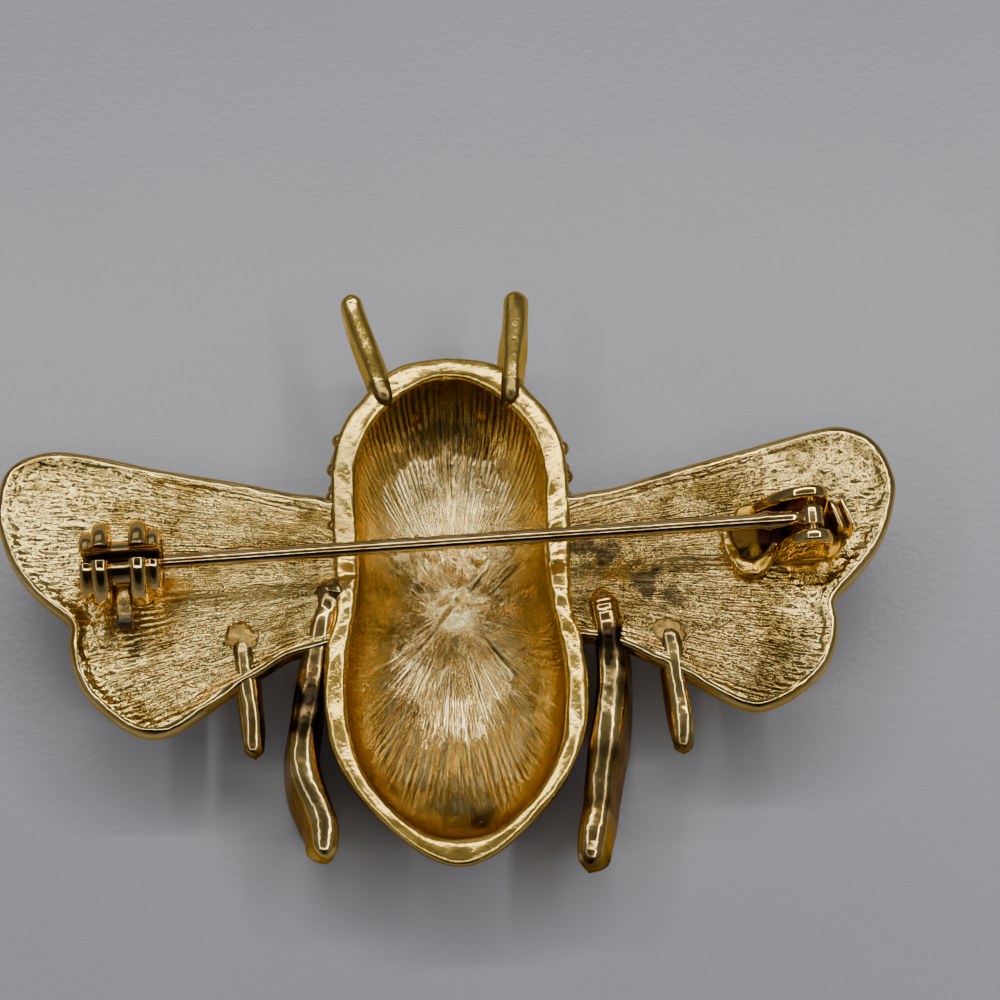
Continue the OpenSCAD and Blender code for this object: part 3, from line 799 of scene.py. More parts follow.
@dataclass
class BodyShell(Assembly):
    """The hollow body: a waisted half-oval shell with a smooth rim round its open back."""

    length: float = 30.75
    width: float = 15.1
    tail: float = 17.9
    rim_w: float = 1.3
    tail_rim_w: float = 1.55
    wall: float = 1.3
    relief: float = 0.35
    fillet: float = 0.4
    arc_power: float = 0.88
    around: int = 800
    dome_rows: int = 48
    rim_rows: int = 14
    rim_power: float = 2.4
    bands: int = 5
    band_reach: tuple = (0.10, 0.50)
    bead_d: float = 0.9
    bead_out: float = 0.32
    bead_rows: int = 8
    bead_across: int = 13
    bead_edge: float = 4.0
    bead_reach: tuple = (0.64, 0.84)
    eye_r: float = 1.5
    eye_sunk: float = 0.4
    eye_along: float = 0.955
    eye_turn: float = 52.0
    bead_mesh: tuple = (18, 11)
    eye_mesh: tuple = (36, 22)
    rim_dip: float = 0.05
    rim_wave: float = 0.10
    groove: tuple = (0.050, 0.030)
    crumple: float = 0.10
    dent: float = 0.05
    # Shares of the way out between which the hollow's relief comes in
    rim_fade: tuple = (0.985, 0.925)
    middle_fade: tuple = (0.10, 0.35)
    crumple_fade: tuple = (0.45, 0.15)
    centre: tuple = (0.0, -1.0)
    # Columns: place from tail to head, half width of skin, half width of hollow, depth (shares)
    sections: tuple = (
        (0.000, 0.000, 0.000, 0.00), (0.004, 0.110, 0.199, 0.14), (0.0267, 0.292, 0.406, 0.36),
        (0.0735, 0.516, 0.641, 0.60), (0.120, 0.696, 0.800, 0.72), (0.165, 0.825, 0.903, 0.83),
        (0.2146, 0.922, 0.968, 0.90), (0.260, 0.975, 0.993, 0.95), (0.312, 1.000, 1.008, 0.98),
        (0.360, 1.000, 1.002, 1.00), (0.426, 0.975, 0.964, 0.985), (0.478, 0.913, 0.921, 0.955),
        (0.5236, 0.900, 0.891, 0.945), (0.582, 0.906, 0.866, 0.94), (0.646, 0.916, 0.867, 0.95),
        (0.728, 0.920, 0.878, 0.975), (0.813, 0.893, 0.863, 0.97), (0.878, 0.794, 0.766, 0.92),
        (0.921, 0.659, 0.634, 0.83), (0.959, 0.530, 0.460, 0.70), (0.985, 0.370, 0.279, 0.50),
        (0.9955, 0.190, 0.154, 0.30), (1.000, 0.000, 0.000, 0.00),
    )
    stains: tuple = (
        Spot(1.1, -14.4, 1.0, 0.9), Spot(-0.3, 9.6, 2.6, 0.55), Spot(1.6, 7.6, 1.8, 0.40),
        Spot(-1.4, 6.4, 1.2, 0.45), Spot(0.0, -13.4, 1.6, 0.35),
    )
    # Columns: start and end of each fold across the hollow's middle, height and half width (millimetres)
    folds: tuple = (
        (1.7, 1.6, -3.0, -3.6, 0.30, 0.34), (-2.6, 0.6, 0.6, -0.9, -0.20, 0.28),
        (0.9, -0.6, 5.2, -1.5, 0.26, 0.36), (1.2, -1.8, 3.6, -5.4, -0.18, 0.24),
        (1.0, 1.9, 2.6, -0.6, 0.18, 0.26), (0.2, -2.0, 1.6, -6.2, 0.16, 0.26),
        (-0.2, 1.0, -1.6, 2.2, 0.18, 0.26), (0.8, -1.6, -1.2, -5.0, -0.16, 0.24),
        (2.2, -0.2, 4.0, 1.4, -0.14, 0.24), (2.4, -0.6, 6.0, -1.6, -0.14, 0.20),
        (-2.9, 0.9, -0.4, -0.2, -0.14, 0.18), (-2.0, -3.2, 2.0, 1.3, -0.14, 0.18),
    )

    def form(self, surface: Surface) -> tuple[float, float, float, float]:
        """Overall sizes of the skin or of the hollow.

        Args:
            surface: which of the two.

        Returns:
            Half width, length, tail end and full depth.
        """
        if surface is Surface.SKIN:
            return self.width / 2, self.length, -self.tail, RIM_Z - self.relief
        half, end = self.width / 2 - self.rim_w, self.tail_rim_w - self.tail
        return half, self.length - self.rim_w - self.tail_rim_w, end, RIM_Z - self.relief - self.wall

    def reach(self, angle: np.ndarray, surface: Surface) -> np.ndarray:
        """Distance of an outline from the centre at each angle.

        Args:
            angle: angles round the centre.
            surface: the skin or the hollow.

        Returns:
            One distance per angle.
        """
        half, length, tail_y, _ = self.form(surface)
        rows = smooth_path(self.sections, 10)
        x, y = rows[:, surface.value] * half, tail_y + rows[:, 0] * length
        loop = np.vstack([np.stack([x, y], 1), np.stack([-x[-2:0:-1], y[-2:0:-1]], 1)])
        loop = even_loop(loop, 2 * self.around) - np.array(self.centre)
        turn = np.arctan2(loop[:, 1], loop[:, 0])
        order = np.argsort(turn)
        return np.interp(angle, turn[order], np.linalg.norm(loop, axis=1)[order], period=TAU)

    def drop(self, x: np.ndarray, y: np.ndarray, surface: Surface) -> np.ndarray:
        """Depth below the rim: d(1 - c^2)^(a / 2), where c = (|x| / w)^(1 / a) and a is arc_power.

        The half width w and the depth d of the section at y come from the table.

        Args:
            x: places out from the middle line.
            y: places up from the waist line.
            surface: the skin or the hollow.

        Returns:
            One depth per place.
        """
        half, length, tail_y, full = self.form(surface)
        rows = smooth_path(self.sections, 10)
        along = (y - tail_y) / length
        width = np.interp(along, rows[:, 0], rows[:, surface.value]) * half
        depth = np.interp(along, rows[:, 0], rows[:, 3]) * full
        side = np.clip(np.abs(x) / np.maximum(width, 1e-6), 0, 1) ** (1 / self.arc_power)
        down = (1 - side**2) ** (self.arc_power / 2)
        lift = self.relief * self.band(along) * down**2 if surface is Surface.SKIN else 0.0
        return depth * down + lift

    def band(self, along: np.ndarray) -> np.ndarray:
        """Height share of the raised bands: |sin|^0.6 of the place between the first and last band.

        Args:
            along: shares of the body's length.

        Returns:
            One share per place.
        """
        start, end = self.band_reach
        place = (along - start) / (end - start)
        inside = (place > 0) & (place < 1)
        return np.where(inside, np.abs(np.sin(math.pi * self.bands * place)) ** 0.6, 0.0)

    def dome(self, share: np.ndarray, angle: np.ndarray, surface: Surface) -> np.ndarray:
        """Points of the skin or the hollow.

        Args:
            share: shares of the way from the centre to the outline.
            angle: angles round the centre.
            surface: the skin or the hollow.

        Returns:
            A ring of points for each share.
        """
        reach = share * self.reach(angle, surface)
        x, y = self.centre[0] + reach * np.cos(angle), self.centre[1] + reach * np.sin(angle)
        z = RIM_Z - self.fillet - np.maximum(self.drop(x, y, surface) - self.fillet, 0)
        return np.stack([x, y, np.maximum(z, 0.02)], axis=-1)

    def rings(self) -> tuple[np.ndarray, np.ndarray]:
        """Skin from its pole to the rim, over the rim, and down into the hollow.

        The rim is z = rim - fillet + fillet(1 - |2t - 1|^p)^(1/p) for t from outside to inside, where
        p is rim_power, and shallow dips and a slow wave make it uneven.

        Returns:
            The rings, and the material slot of each: 0 skin, 1 rim, 2 hollow.
        """
        angle = np.linspace(-math.pi, math.pi, self.around, endpoint=False)[None, :]
        share = np.sin(np.linspace(0.02, math.pi / 2, self.dome_rows))[:, None]
        skin, hollow = self.dome(share, angle, Surface.SKIN), self.dome(share[::-1], angle, Surface.HOLLOW)
        hollow[..., 2] += self.brushing(share[::-1], angle)
        outer, inner = skin[-1], hollow[0]
        t = (0.5 - 0.5 * np.cos(np.linspace(0, math.pi, self.rim_rows + 2)))[1:-1, None]
        rim = outer + t[..., None] * (inner - outer)
        power = self.rim_power
        rim[..., 2] = RIM_Z - self.fillet + self.fillet * (1 - np.abs(2 * t - 1) ** power) ** (1 / power)
        crown = np.sin(math.pi * t)
        turn = (angle + math.pi) / TAU
        dips = value_noise(turn * 64, t * 1.5, 7) + 0.6 * value_noise(turn * 128 + 9, t * 3, 8)
        rim[..., 2] += crown * self.rim_dip * (dips - 1)
        wave = value_noise(turn * 32, np.zeros_like(turn), 5)
        outward = np.stack([np.cos(angle), np.sin(angle)], axis=-1)
        rim[..., :2] += (self.rim_wave * crown * wave)[..., None] * outward
        return np.concatenate([skin, rim, hollow]), np.repeat([0, 1, 2], [len(skin), len(rim), len(hollow)])

    def brushing(self, share: np.ndarray, angle: np.ndarray) -> np.ndarray:
        """Fine grooves of the hollow along rays from the centre, the crumpled middle and its folds.

        Args:
            share: shares of the way from the centre to the outline.
            angle: angles round the centre.

        Returns:
            Heights to add.
        """
        turn = (angle + math.pi) / TAU
        coarse, fine = self.groove
        grooves = coarse * value_noise(turn * 256, share * 4, 11)
        grooves = grooves + fine * value_noise(turn * 256 + 40, share * 11, 12)
        fade = ease(share, *self.rim_fade) * ease(share, *self.middle_fade)
        reach = share * self.reach(angle, Surface.HOLLOW)
        x, y = self.centre[0] + reach * np.cos(angle), self.centre[1] + reach * np.sin(angle)
        creases = (1 - np.abs(patches(x, y, 0.9, 13, 20))) ** 3
        crumple = self.crumple * creases * ease(share, *self.crumple_fade)
        for *line, height, half in self.folds:
            crumple = crumple + height * np.clip(1 - self.fold_gap(x, y, line) / (2 * half), 0, 1) ** 1.6
        dents = self.dent * patches(x, y, 2.2, 14, 70) * ease(np.sin(angle), -0.6, 0.4)
        return (grooves + dents) * fade + crumple

    def fold_gap(self, x: np.ndarray, y: np.ndarray, line: list) -> np.ndarray:
        """Distance of each place from a fold's line, given by its two ends."""
        places = np.stack([x.ravel(), y.ravel()], 1)
        return edge_distance(places, np.array([line[:2]]), np.array([line[2:]])).reshape(x.shape)

    def paint(self, points: np.ndarray, inside: np.ndarray) -> dict:
        """Stains, painted shade and painted reflections, and dents of the shell.

        Amber lies low along the walls as painted warm reflection of gold on gold, and at the head. Dark
        paint lies in spots, at the head wall as painted dark reflection, in the creases beside the sunk
        folds as painted shade, and on the rim at one shoulder as painted dark reflection.

        Args:
            points: places from the waist line, one per line.
            inside: which of them lie in the hollow.

        Returns:
            Attribute names to one value per point.
        """
        x, y, z = points.T
        hub = np.hypot(x - self.centre[0], y - self.centre[1])
        # Painted warm reflection low on the walls; painted dark reflection and amber at the head wall
        wall_reflection = ease(np.abs(x) / np.interp(y, *self.wall_line()), 0.62, 0.92) * ease(z, 7.6, 6.4)
        head = ease(y, 8.2, 10.7) * ease(z, 7.7, 6.7)
        # Painted dark reflection on the rim at the left shoulder
        rim_dark_reflection = 0.45 * ease(-x, 5.0, 5.6) * ease(y, 0.5, 2.0) * ease(y, 9.5, 7.0)
        # Painted shade in the creases beside the sunk folds
        gap = np.min([self.fold_gap(x, y, line) for *line, height, _ in self.folds if height < 0], axis=0)
        broken = 0.5 + 0.5 * patches(x, y, 2.5, 61)
        crease_shade = 0.7 * broken * ease(gap, 0.14, 0.02) * ease(hub, 0.7, 1.7)
        dark = np.max([spots_mask(self.stains, x, y), 0.55 * head, crease_shade], axis=0)
        dents = np.maximum(0.45 * ease(y, -1.0, 3.0) * ease(y, 9.0, 6.0), ease(hub, 2.4, 1.0))
        return {"amber_and_reflection": inside * (0.12 * wall_reflection + 0.20 * head), "tarnish_and_shade": np.where(inside, dark, rim_dark_reflection),
                "dented": inside * dents}

    def build(self) -> list:
        """Makes the shell, its beads and its eyes.

        Returns:
            The three pieces.
        """
        rings, slots = self.rings()
        points, faces = closed_skin(rings)
        picks = np.repeat(np.append(slots[:-1], slots[[0, -1]]), self.around)
        inside = np.append(np.repeat(slots == 2, self.around), [False, True])
        materials = [self.finishes.front, self.finishes.rim, self.finishes.hollow]
        paint = self.paint(points, inside)
        shell = make_piece("body_shell", to_frame(points), faces, materials, picks, paint)
        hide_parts("casting")
        return [shell, self.beads(), self.eyes()]

    def wall_line(self) -> tuple[np.ndarray, np.ndarray]:
        """Course of the hollow's wall.

        Returns:
            Places along the body, and the hollow's half width at each.
        """
        half, length, tail_y, _ = self.form(Surface.HOLLOW)
        rows = np.array(self.sections)
        return tail_y + rows[:, 0] * length, np.maximum(rows[:, 2] * half, 0.5)

    def front_place(self, along: np.ndarray, turn: np.ndarray, sunk: float) -> np.ndarray:
        """Places on the front.

        Args:
            along: shares of the body's length.
            turn: angles round the body at each.
            sunk: depth under the skin.

        Returns:
            One place per pair.
        """
        rows = smooth_path(self.sections, 8)
        half = np.interp(along, rows[:, 0], rows[:, 1]) * (self.width / 2 - sunk)
        depth = np.interp(along, rows[:, 0], rows[:, 3]) * (RIM_Z - self.relief - sunk)
        x = half * signed_power(np.cos(turn), self.arc_power)
        z = RIM_Z - depth * np.sin(turn) ** self.arc_power
        return np.stack([x, along * self.length - self.tail, z], axis=-1)

    def beads(self) -> bpy.types.Object:
        """Rows of beads over the front of the thorax, half sunk in the skin, every other row shifted.

        Returns:
            The piece.
        """
        start, end = self.bead_reach
        row, k = (a.ravel() for a in np.indices((self.bead_rows, self.bead_across)))
        step = (k + 0.5 * (row % 2)) / (self.bead_across - 0.5)
        turn = np.radians(self.bead_edge + (180 - 2 * self.bead_edge) * step)
        along = start + (end - start) * row / (self.bead_rows - 1)
        centres = self.front_place(along, turn, self.bead_d / 2 - self.bead_out)
        return self.balls("thorax_beads", centres, self.bead_d / 2, self.bead_mesh)

    def eyes(self) -> bpy.types.Object:
        """Two plain domed eyes at the sides of the head's front.

        Returns:
            The piece.
        """
        turn = np.radians([self.eye_turn, 180 - self.eye_turn])
        centres = self.front_place(np.full(2, self.eye_along), turn, self.eye_sunk)
        return self.balls("eyes", centres, self.eye_r, self.eye_mesh)

    def balls(self, name: str, centres: np.ndarray, radius: float, detail: tuple) -> bpy.types.Object:
        """Equal balls in the front's finish, as one piece.

        Args:
            name: the piece's name.
            centres: middles of the balls, one per line.
            radius: their radius.
            detail: points in a ring, and rings between the poles.

        Returns:
            The piece.
        """
        ball, faces = unit_ball(*detail)
        points, faces = join_parts([(centre + ball * radius, faces) for centre in centres])
        return make_piece(name, to_frame(points), faces, [self.finishes.front])


@dataclass
class Wing(Assembly):
    """One two-lobed wing: a plate with a smooth rounded border round a lined field."""

    side: int
    span: float = 52.0
    height: float = 17.1
    root: float = 6.15
    border_w: float = 0.85
    border_fall: float = 0.35
    roll: float = 0.45
    around: int = 640
    field_rows: int = 84
    field_share: float = 0.93
    border_rows: int = 18
    front_rows: int = 17
    front_share: float = 0.9
    edge_rows: int = 6
    vein_rise: float = 0.30
    vein_half: tuple = (0.38, 0.24)
    groove: float = 0.014
    dent: float = 0.085
    swell: float = 0.10
    border_dent: float = 0.05
    apex: tuple = (9.0, -0.2)
    fan: tuple = (-6.0, 0.2)
    # Columns: place from the middle line (share of half the span), from the waist line (share of height)
    outline: tuple = (
        (0.2365, 0.206), (0.281, 0.240), (0.365, 0.260), (0.462, 0.301), (0.562, 0.342), (0.665, 0.383),
        (0.750, 0.418), (0.819, 0.444), (0.877, 0.456), (0.935, 0.430), (0.973, 0.374), (0.994, 0.292),
        (1.000, 0.216), (0.977, 0.088), (0.942, -0.009), (0.892, -0.099), (0.848, -0.170), (0.850, -0.246),
        (0.842, -0.322), (0.819, -0.404), (0.777, -0.465), (0.723, -0.518), (0.665, -0.544),
        (0.612, -0.523), (0.554, -0.471), (0.496, -0.412), (0.423, -0.354), (0.358, -0.304),
        (0.281, -0.278), (0.2365, -0.265),
    )
    # Columns: root then end of each vein, in the outline's shares
    veins: tuple = (
        (0.30, 0.10, 0.90, 0.33), (0.30, 0.02, 0.88, 0.12), (0.32, -0.06, 0.78, -0.06),
        (0.34, -0.14, 0.76, -0.30), (0.36, -0.20, 0.66, -0.46),
    )
    stains: ClassVar[dict] = {
        -1: (Spot(15.9, -2.1, 0.7, 0.35), Spot(20.2, -1.2, 1.4, 0.30), Spot(19.6, -3.4, 1.1, 0.35)),
        1: (Spot(7.7, 1.0, 0.9, 0.85, 1.5), Spot(9.0, 0.45, 0.8, 0.75, 1.5), Spot(11.2, -1.4, 0.9, 0.85, 1.5),
            Spot(12.7, -2.4, 0.9, 0.75, 1.5), Spot(19.6, -6.3, 1.6, 0.5), Spot(16.9, -7.4, 1.4, 0.5),
            Spot(12.4, 5.2, 0.9, 0.5), Spot(22.2, 3.6, 1.5, 0.4)),
    }
    glow: ClassVar[dict] = {
        -1: (Spot(15.95, -1.05, 0.8, 1.0, 2.5), Spot(19.4, -2.4, 1.2, 0.5), Spot(21.0, 6.2, 2.2, 0.25)),
        1: (Spot(9.6, -0.9, 0.8, 0.95, 1.5), Spot(10.9, -0.7, 0.6, 0.8, 1.5), Spot(17.2, 2.4, 0.8, 0.9, 1.5),
            Spot(16.2, -1.0, 0.9, 0.4)),
    }

    @property
    def name(self) -> str:
        """The wing's name by its side."""
        return "wing_right" if self.side > 0 else "wing_left"

    def noise(self, x: np.ndarray, y: np.ndarray, scale: float, seed: int) -> np.ndarray:
        """Noise from -1 to 1 that differs between the two wings."""
        return patches(x, y, scale, seed + self.side)

    def loop(self) -> np.ndarray:
        """The outline, for the right side, with a straight root.

        Returns:
            Evenly spaced points.
        """
        flat = smooth_path(self.outline, 8, closed=True) * [self.span / 2, self.height]
        flat[:, 0] = np.maximum(flat[:, 0], self.root)
        return even_loop(self.lean_left(flat) if self.side < 0 else flat, self.around)

    def lean_left(self, flat: np.ndarray) -> np.ndarray:
        """Moves the left wing's outline where the photo's two wings differ.

        The tip goes out by up to 0.4 mm and its upper corner by 0.35 mm more, the upper edge rises by
        0.35 mm near the body, and the lower lobe drops by 0.45 mm.

        Args:
            flat: places out from the middle line and up from the waist line.

        Returns:
            The moved places.
        """
        x, y = flat.T
        corner = np.exp(-(((x - 24.5) / 2.0) ** 2) - ((y - 6.6) / 2.0) ** 2)
        out = 0.40 * ease(x, 19, 25) * ease(y, -5, -1) + 0.35 * corner
        rise = 0.35 * ease(x, 18, 10) * ease(y, 0, 2) * ease(x, 6.2, 7.7)
        drop = 0.45 * ease(-y, 4, 8) * ease(x, 22, 18)
        return np.stack([x + out, y + rise - drop], axis=1)

    def edge_roll(self, distance: np.ndarray) -> np.ndarray:
        """Drop of the surface towards its edge and behind the border.

        The edge is a quarter round of radius roll, and the border falls by its rise over the rest
        of its width.

        Args:
            distance: distances from the free edge.

        Returns:
            How far each place lies under the border's crest.
        """
        near = np.clip(distance, 0, self.roll)
        quarter = self.roll - np.sqrt(np.maximum(self.roll**2 - (self.roll - near) ** 2, 0))
        return quarter + BORDER_RISE * ease(distance, self.roll, self.border_w + self.border_fall)

    def dented(self, x: np.ndarray, y: np.ndarray) -> np.ndarray:
        """Share of dents over grooves: more towards the tips, less at the root and middle.

        Args:
            x: places out from the middle line.
            y: places up from the waist line.

        Returns:
            One share per place.
        """
        share = np.clip(0.15 + 0.65 * ease(x, 15, 22) + 0.25 * ease(y, 2, 5), 0, 1)
        return share * (0.725 + 0.275 * self.noise(x, y, 0.35, 29))

    def texture(self, x: np.ndarray, y: np.ndarray, distance: np.ndarray) -> np.ndarray:
        """Relief of the field: grooves fanning from the root, and dents towards the tip.

        Args:
            x: places out from the middle line.
            y: places up from the waist line.
            distance: distances from the edge.

        Returns:
            Heights to add.
        """
        inside = ease(distance, self.roll, self.roll + 0.35)
        turn = np.arctan2(y - self.fan[1], x - self.fan[0])
        reach = np.hypot(x - self.fan[0], y - self.fan[1])
        bend = 0.5 * self.noise(x, y, 0.3, 25) / reach
        groove = value_noise((turn + bend) * 110 + 300, reach * 0.4, 21 + self.side)
        dents = self.noise(x, y, 1.7, 31) + 0.8 * self.noise(x, y, 3.1, 33)
        share = self.dented(x, y)
        relief = self.groove * (1 - share) * groove + self.dent * share * dents
        relief = relief + self.swell * self.noise(x, y, 0.45, 35)
        border = self.border_dent * self.noise(x, y, 1.1, 37) * ease(distance, 0, 0.4)
        return inside * relief + (1 - inside) * border

    def vein_height(self, x: np.ndarray, y: np.ndarray) -> np.ndarray:
        """Height of the rounded veins on the front, by distance from each vein's line.

        Args:
            x: places out from the middle line.
            y: places up from the waist line.

        Returns:
            Heights to add.
        """
        rise = np.zeros_like(x)
        wide, narrow = self.vein_half
        for row in np.array(self.veins):
            start, end = row.reshape(2, 2) * [self.span / 2, self.height]
            run = end - start
            near = np.clip(((x - start[0]) * run[0] + (y - start[1]) * run[1]) / (run**2).sum(), 0, 1)
            gap = np.hypot(x - start[0] - near * run[0], y - start[1] - near * run[1])
            half = wide + (narrow - wide) * near
            rise = np.maximum(rise, self.vein_rise * np.sqrt(np.maximum(1 - (gap / half) ** 2, 0)))
        return rise

    def level(self, loop: np.ndarray, share: np.ndarray) -> tuple[np.ndarray, np.ndarray]:
        """Flat rings between the apex and the outline.

        Args:
            loop: the outline.
            share: shares of the way from the apex to it.

        Returns:
            The rings, and the distance of each place from the free edge.
        """
        flat = self.apex + share[:, None, None] * (loop - self.apex)[None]
        start, end = loop[::2], np.roll(loop[::2], -1, axis=0)
        free = np.maximum(start[:, 0], end[:, 0]) > self.root + 0.05
        distance = edge_distance(flat.reshape(-1, 2), start[free], end[free]).reshape(flat.shape[:2])
        distance[-1] *= distance[-1] > 0.15
        return flat, distance

    def rings(self) -> tuple[np.ndarray, np.ndarray]:
        """The back from apex to edge, round the edge, and the front back to its apex.

        Returns:
            The rings, and whether each of their places lies in the lined field.
        """
        loop = self.loop()
        near_edge = 1 - (1 - np.linspace(0, 1, self.border_rows + 1)[1:]) ** 1.5
        back, front = self.field_share, self.front_share
        share = np.append(np.linspace(0.012, back, self.field_rows), back + (1 - back) * near_edge)
        flat, distance = self.level(loop, share)
        relief = self.texture(*np.moveaxis(flat, -1, 0), distance)
        upper = np.dstack([flat, WING_BACK - self.edge_roll(distance) + relief])
        share = np.append(np.linspace(0.03, front, self.front_rows), front + (1 - front) * near_edge[1::2])
        flat, gap = self.level(loop, share)
        rise = self.vein_height(*np.moveaxis(flat, -1, 0)) * ease(gap, 0.7, 1.2)
        lower = np.dstack([flat, WING_BACK - WING_THICK + self.edge_roll(gap) - rise])[::-1]
        rings = np.concatenate([upper, np.linspace(upper[-1], lower[0], self.edge_rows)[1:-1], lower])
        field = np.zeros(rings.shape[:2], int)
        field[: len(distance)] = distance > self.roll + 0.05
        return rings, field

    def build(self) -> bpy.types.Object:
        """Makes the wing and dresses it.

        Returns:
            The piece.
        """
        rings, field = self.rings()
        points, faces = closed_skin(rings)
        picks = np.concatenate([field[:-1].ravel(), np.ones(self.around, int), np.zeros(self.around, int)])
        x, y = points[:, 0], points[:, 1]
        paint = {"dented": self.dented(x, y), "tarnish_and_shade": spots_mask(self.stains[self.side], x, y),
                 "amber_and_reflection": spots_mask(self.glow[self.side], x, y)}
        materials = [self.finishes.border, self.finishes.fields[self.side]]
        points = to_frame(points * [self.side, 1, 1])
        return make_piece(self.name, points, faces, materials, picks, paint)


@dataclass
class Limb:
    """An antenna or leg: a bar with a broad rounded crown, carried along a curved path."""

    name: str
    # Columns: place out, place along, top and bottom (shares of the rim's height), half width at the
    # back and at the front (shares of the width)
    rows: tuple
    side: int
    reach: float
    start: float
    run: float
    width: float
    gold: bpy.types.Material
    seed: int
    # Columns: start and end along the limb (share), strength of the dark reflections there
    shades: tuple
    ribs: float = 0.0
    # Share of painted warm reflection on the lower flanks
    flank_reflection: float = 0.2
    splay: float = 0.0
    steps: int = 10
    caps: int = 7
    crown_points: int = 25
    belly_points: int = 15
    crown_rise: float = 0.85
    swell: float = 0.10
    lift: float = 0.14
    tilt: float = 0.16

    def arch(self, count: int) -> tuple[np.ndarray, np.ndarray]:
        """Half an oval from one side to the other: |cos|^0.9 across and |sin|^0.9 up."""
        turn = np.linspace(0, math.pi, count)
        return signed_power(np.cos(turn), 0.90), np.sin(turn) ** 0.90

    def rings(self) -> np.ndarray:
        """Sections along the path: a crown at the back, straight sides and a round belly.

        Slow noise along the bar swells its width and lifts and tilts its crown.

        Returns:
            The rings, narrowed at both ends to round them off.
        """
        table = smooth_path(self.rows, self.steps)
        path = np.stack([self.side * table[:, 0] * self.reach, self.start + table[:, 1] * self.run], 1)
        tangent = np.gradient(path, axis=0)
        tangent /= np.linalg.norm(tangent, axis=1, keepdims=True)
        bend = np.radians(np.linspace(84, 8, self.caps))
        index = np.pad(np.arange(len(path)), self.caps, mode="edge")
        scale = np.concatenate([np.cos(bend), np.ones(len(path)), np.cos(bend[::-1])])[:, None]
        push = np.concatenate([-np.sin(bend), np.zeros(len(path)), np.sin(bend[::-1])])[:, None]
        top, low = (table[index, k, None] * RIM_Z for k in (2, 3))
        back, front = (table[index, k, None] * self.width for k in (4, 5))
        centres = path[index] + push * tangent[index] * np.maximum(back, front)
        row = np.arange(len(index))[:, None]
        back = back * (1 + self.swell * value_noise(row * 0.09, 0.0, self.seed))
        top = top + self.lift * value_noise(row * 0.075 + 40, 0.0, self.seed + 1)
        top = top + self.ribs * np.sin(row * 0.95) ** 2 * (row < 2 * self.steps)
        tilt = self.tilt * value_noise(row * 0.06 + 80, 0.0, self.seed + 2)
        top, low = top - (1 - scale) * back * 0.7, low + (1 - scale) * front
        crown_x, crown_up = self.arch(self.crown_points)
        belly_x, belly_up = self.arch(self.belly_points)
        t = np.linspace(0, 1, 8)[1:-1]
        rise = self.crown_rise * back
        shoulder = top - rise
        hip = np.minimum(low + front, shoulder - 0.05)
        x = np.hstack([back * crown_x, -back - (front - back) * t, -front * belly_x,
                       front + (back - front) * t])
        z = np.hstack([shoulder + rise * crown_up + tilt * crown_x, shoulder + (hip - shoulder) * t,
                       hip - front * belly_up, hip + (shoulder - hip) * t])
        lean = np.concatenate([np.zeros(self.crown_points), t, np.ones(self.belly_points), 1 - t])
        x = (x - self.side * self.splay * lean) * scale
        across = np.stack([tangent[:, 1], -tangent[:, 0]], 1)[index]
        return np.dstack([centres[:, :1] + across[:, :1] * x, centres[:, 1:] + across[:, 1:] * x, z])

    def build(self) -> bpy.types.Object:
        """Makes the bar, with painted warm reflection on its lower flanks and painted dark reflections in
        stretches along it.

        Returns:
            The piece.
        """
        points, faces = closed_skin(self.rings())
        x, y, z = points.T
        ragged = 0.3 * patches(y, z, 1.4, 55)
        along = (y - self.start) / self.run + 0.04 * value_noise(x * 2.4, y * 1.1, 62)
        dark, soft = np.zeros(len(points)), 0.02
        for first, last, strength in self.shades:
            inside = ease(along, first - soft, first + soft) * ease(along, last + soft, last - soft)
            dark = np.maximum(dark, strength * inside * (0.95 + ragged))
        # Painted warm reflection low on the flanks; painted dark reflections in stretches along the bar
        paint = {"amber_and_reflection": self.flank_reflection * ease(z / RIM_Z - 0.3 * ragged, 0.93, 0.63), "tarnish_and_shade": dark}
        return make_piece(self.name, to_frame(points), faces, [self.gold], None, paint)


# Rows of the six limbs; Limb.rows says what the columns are
HIND_LEFT = (
    (0.779, -0.012, 1.015, 0.66, 0.46, 0.46), (0.802, 0.040, 0.985, 0.60, 0.37, 0.44),
    (0.834, 0.094, 0.995, 0.52, 0.41, 0.44), (0.883, 0.201, 0.97, 0.30, 0.40, 0.46),
    (0.939, 0.363, 0.955, 0.12, 0.42, 0.50), (0.981, 0.506, 0.945, 0.04, 0.42, 0.52),
    (0.966, 0.624, 0.93, 0.03, 0.42, 0.52), (0.907, 0.727, 0.92, 0.10, 0.42, 0.50),
    (0.860, 0.810, 0.905, 0.30, 0.42, 0.48), (0.851, 0.878, 0.875, 0.52, 0.40, 0.42),
)
HIND_RIGHT = (
    (0.962, 0.064, 1.00, 0.60, 0.44, 0.46), (0.991, 0.173, 0.99, 0.36, 0.42, 0.48),
    (0.999, 0.318, 0.97, 0.12, 0.42, 0.50), (0.969, 0.461, 0.955, 0.04, 0.42, 0.52),
    (0.921, 0.585, 0.94, 0.03, 0.42, 0.52), (0.887, 0.691, 0.93, 0.06, 0.42, 0.50),
    (0.861, 0.792, 0.91, 0.22, 0.42, 0.48), (0.829, 0.876, 0.90, 0.42, 0.42, 0.46),
    (0.811, 0.942, 0.87, 0.54, 0.40, 0.42),
)
SHORT_LEFT = (
    (0.986, 0.022, 0.975, 0.76, 0.46, 0.50), (0.965, 0.232, 0.97, 0.66, 0.44, 0.52),
    (0.957, 0.446, 0.955, 0.62, 0.44, 0.52), (0.945, 0.657, 0.94, 0.64, 0.44, 0.50),
    (0.938, 0.817, 0.91, 0.70, 0.40, 0.42),
)
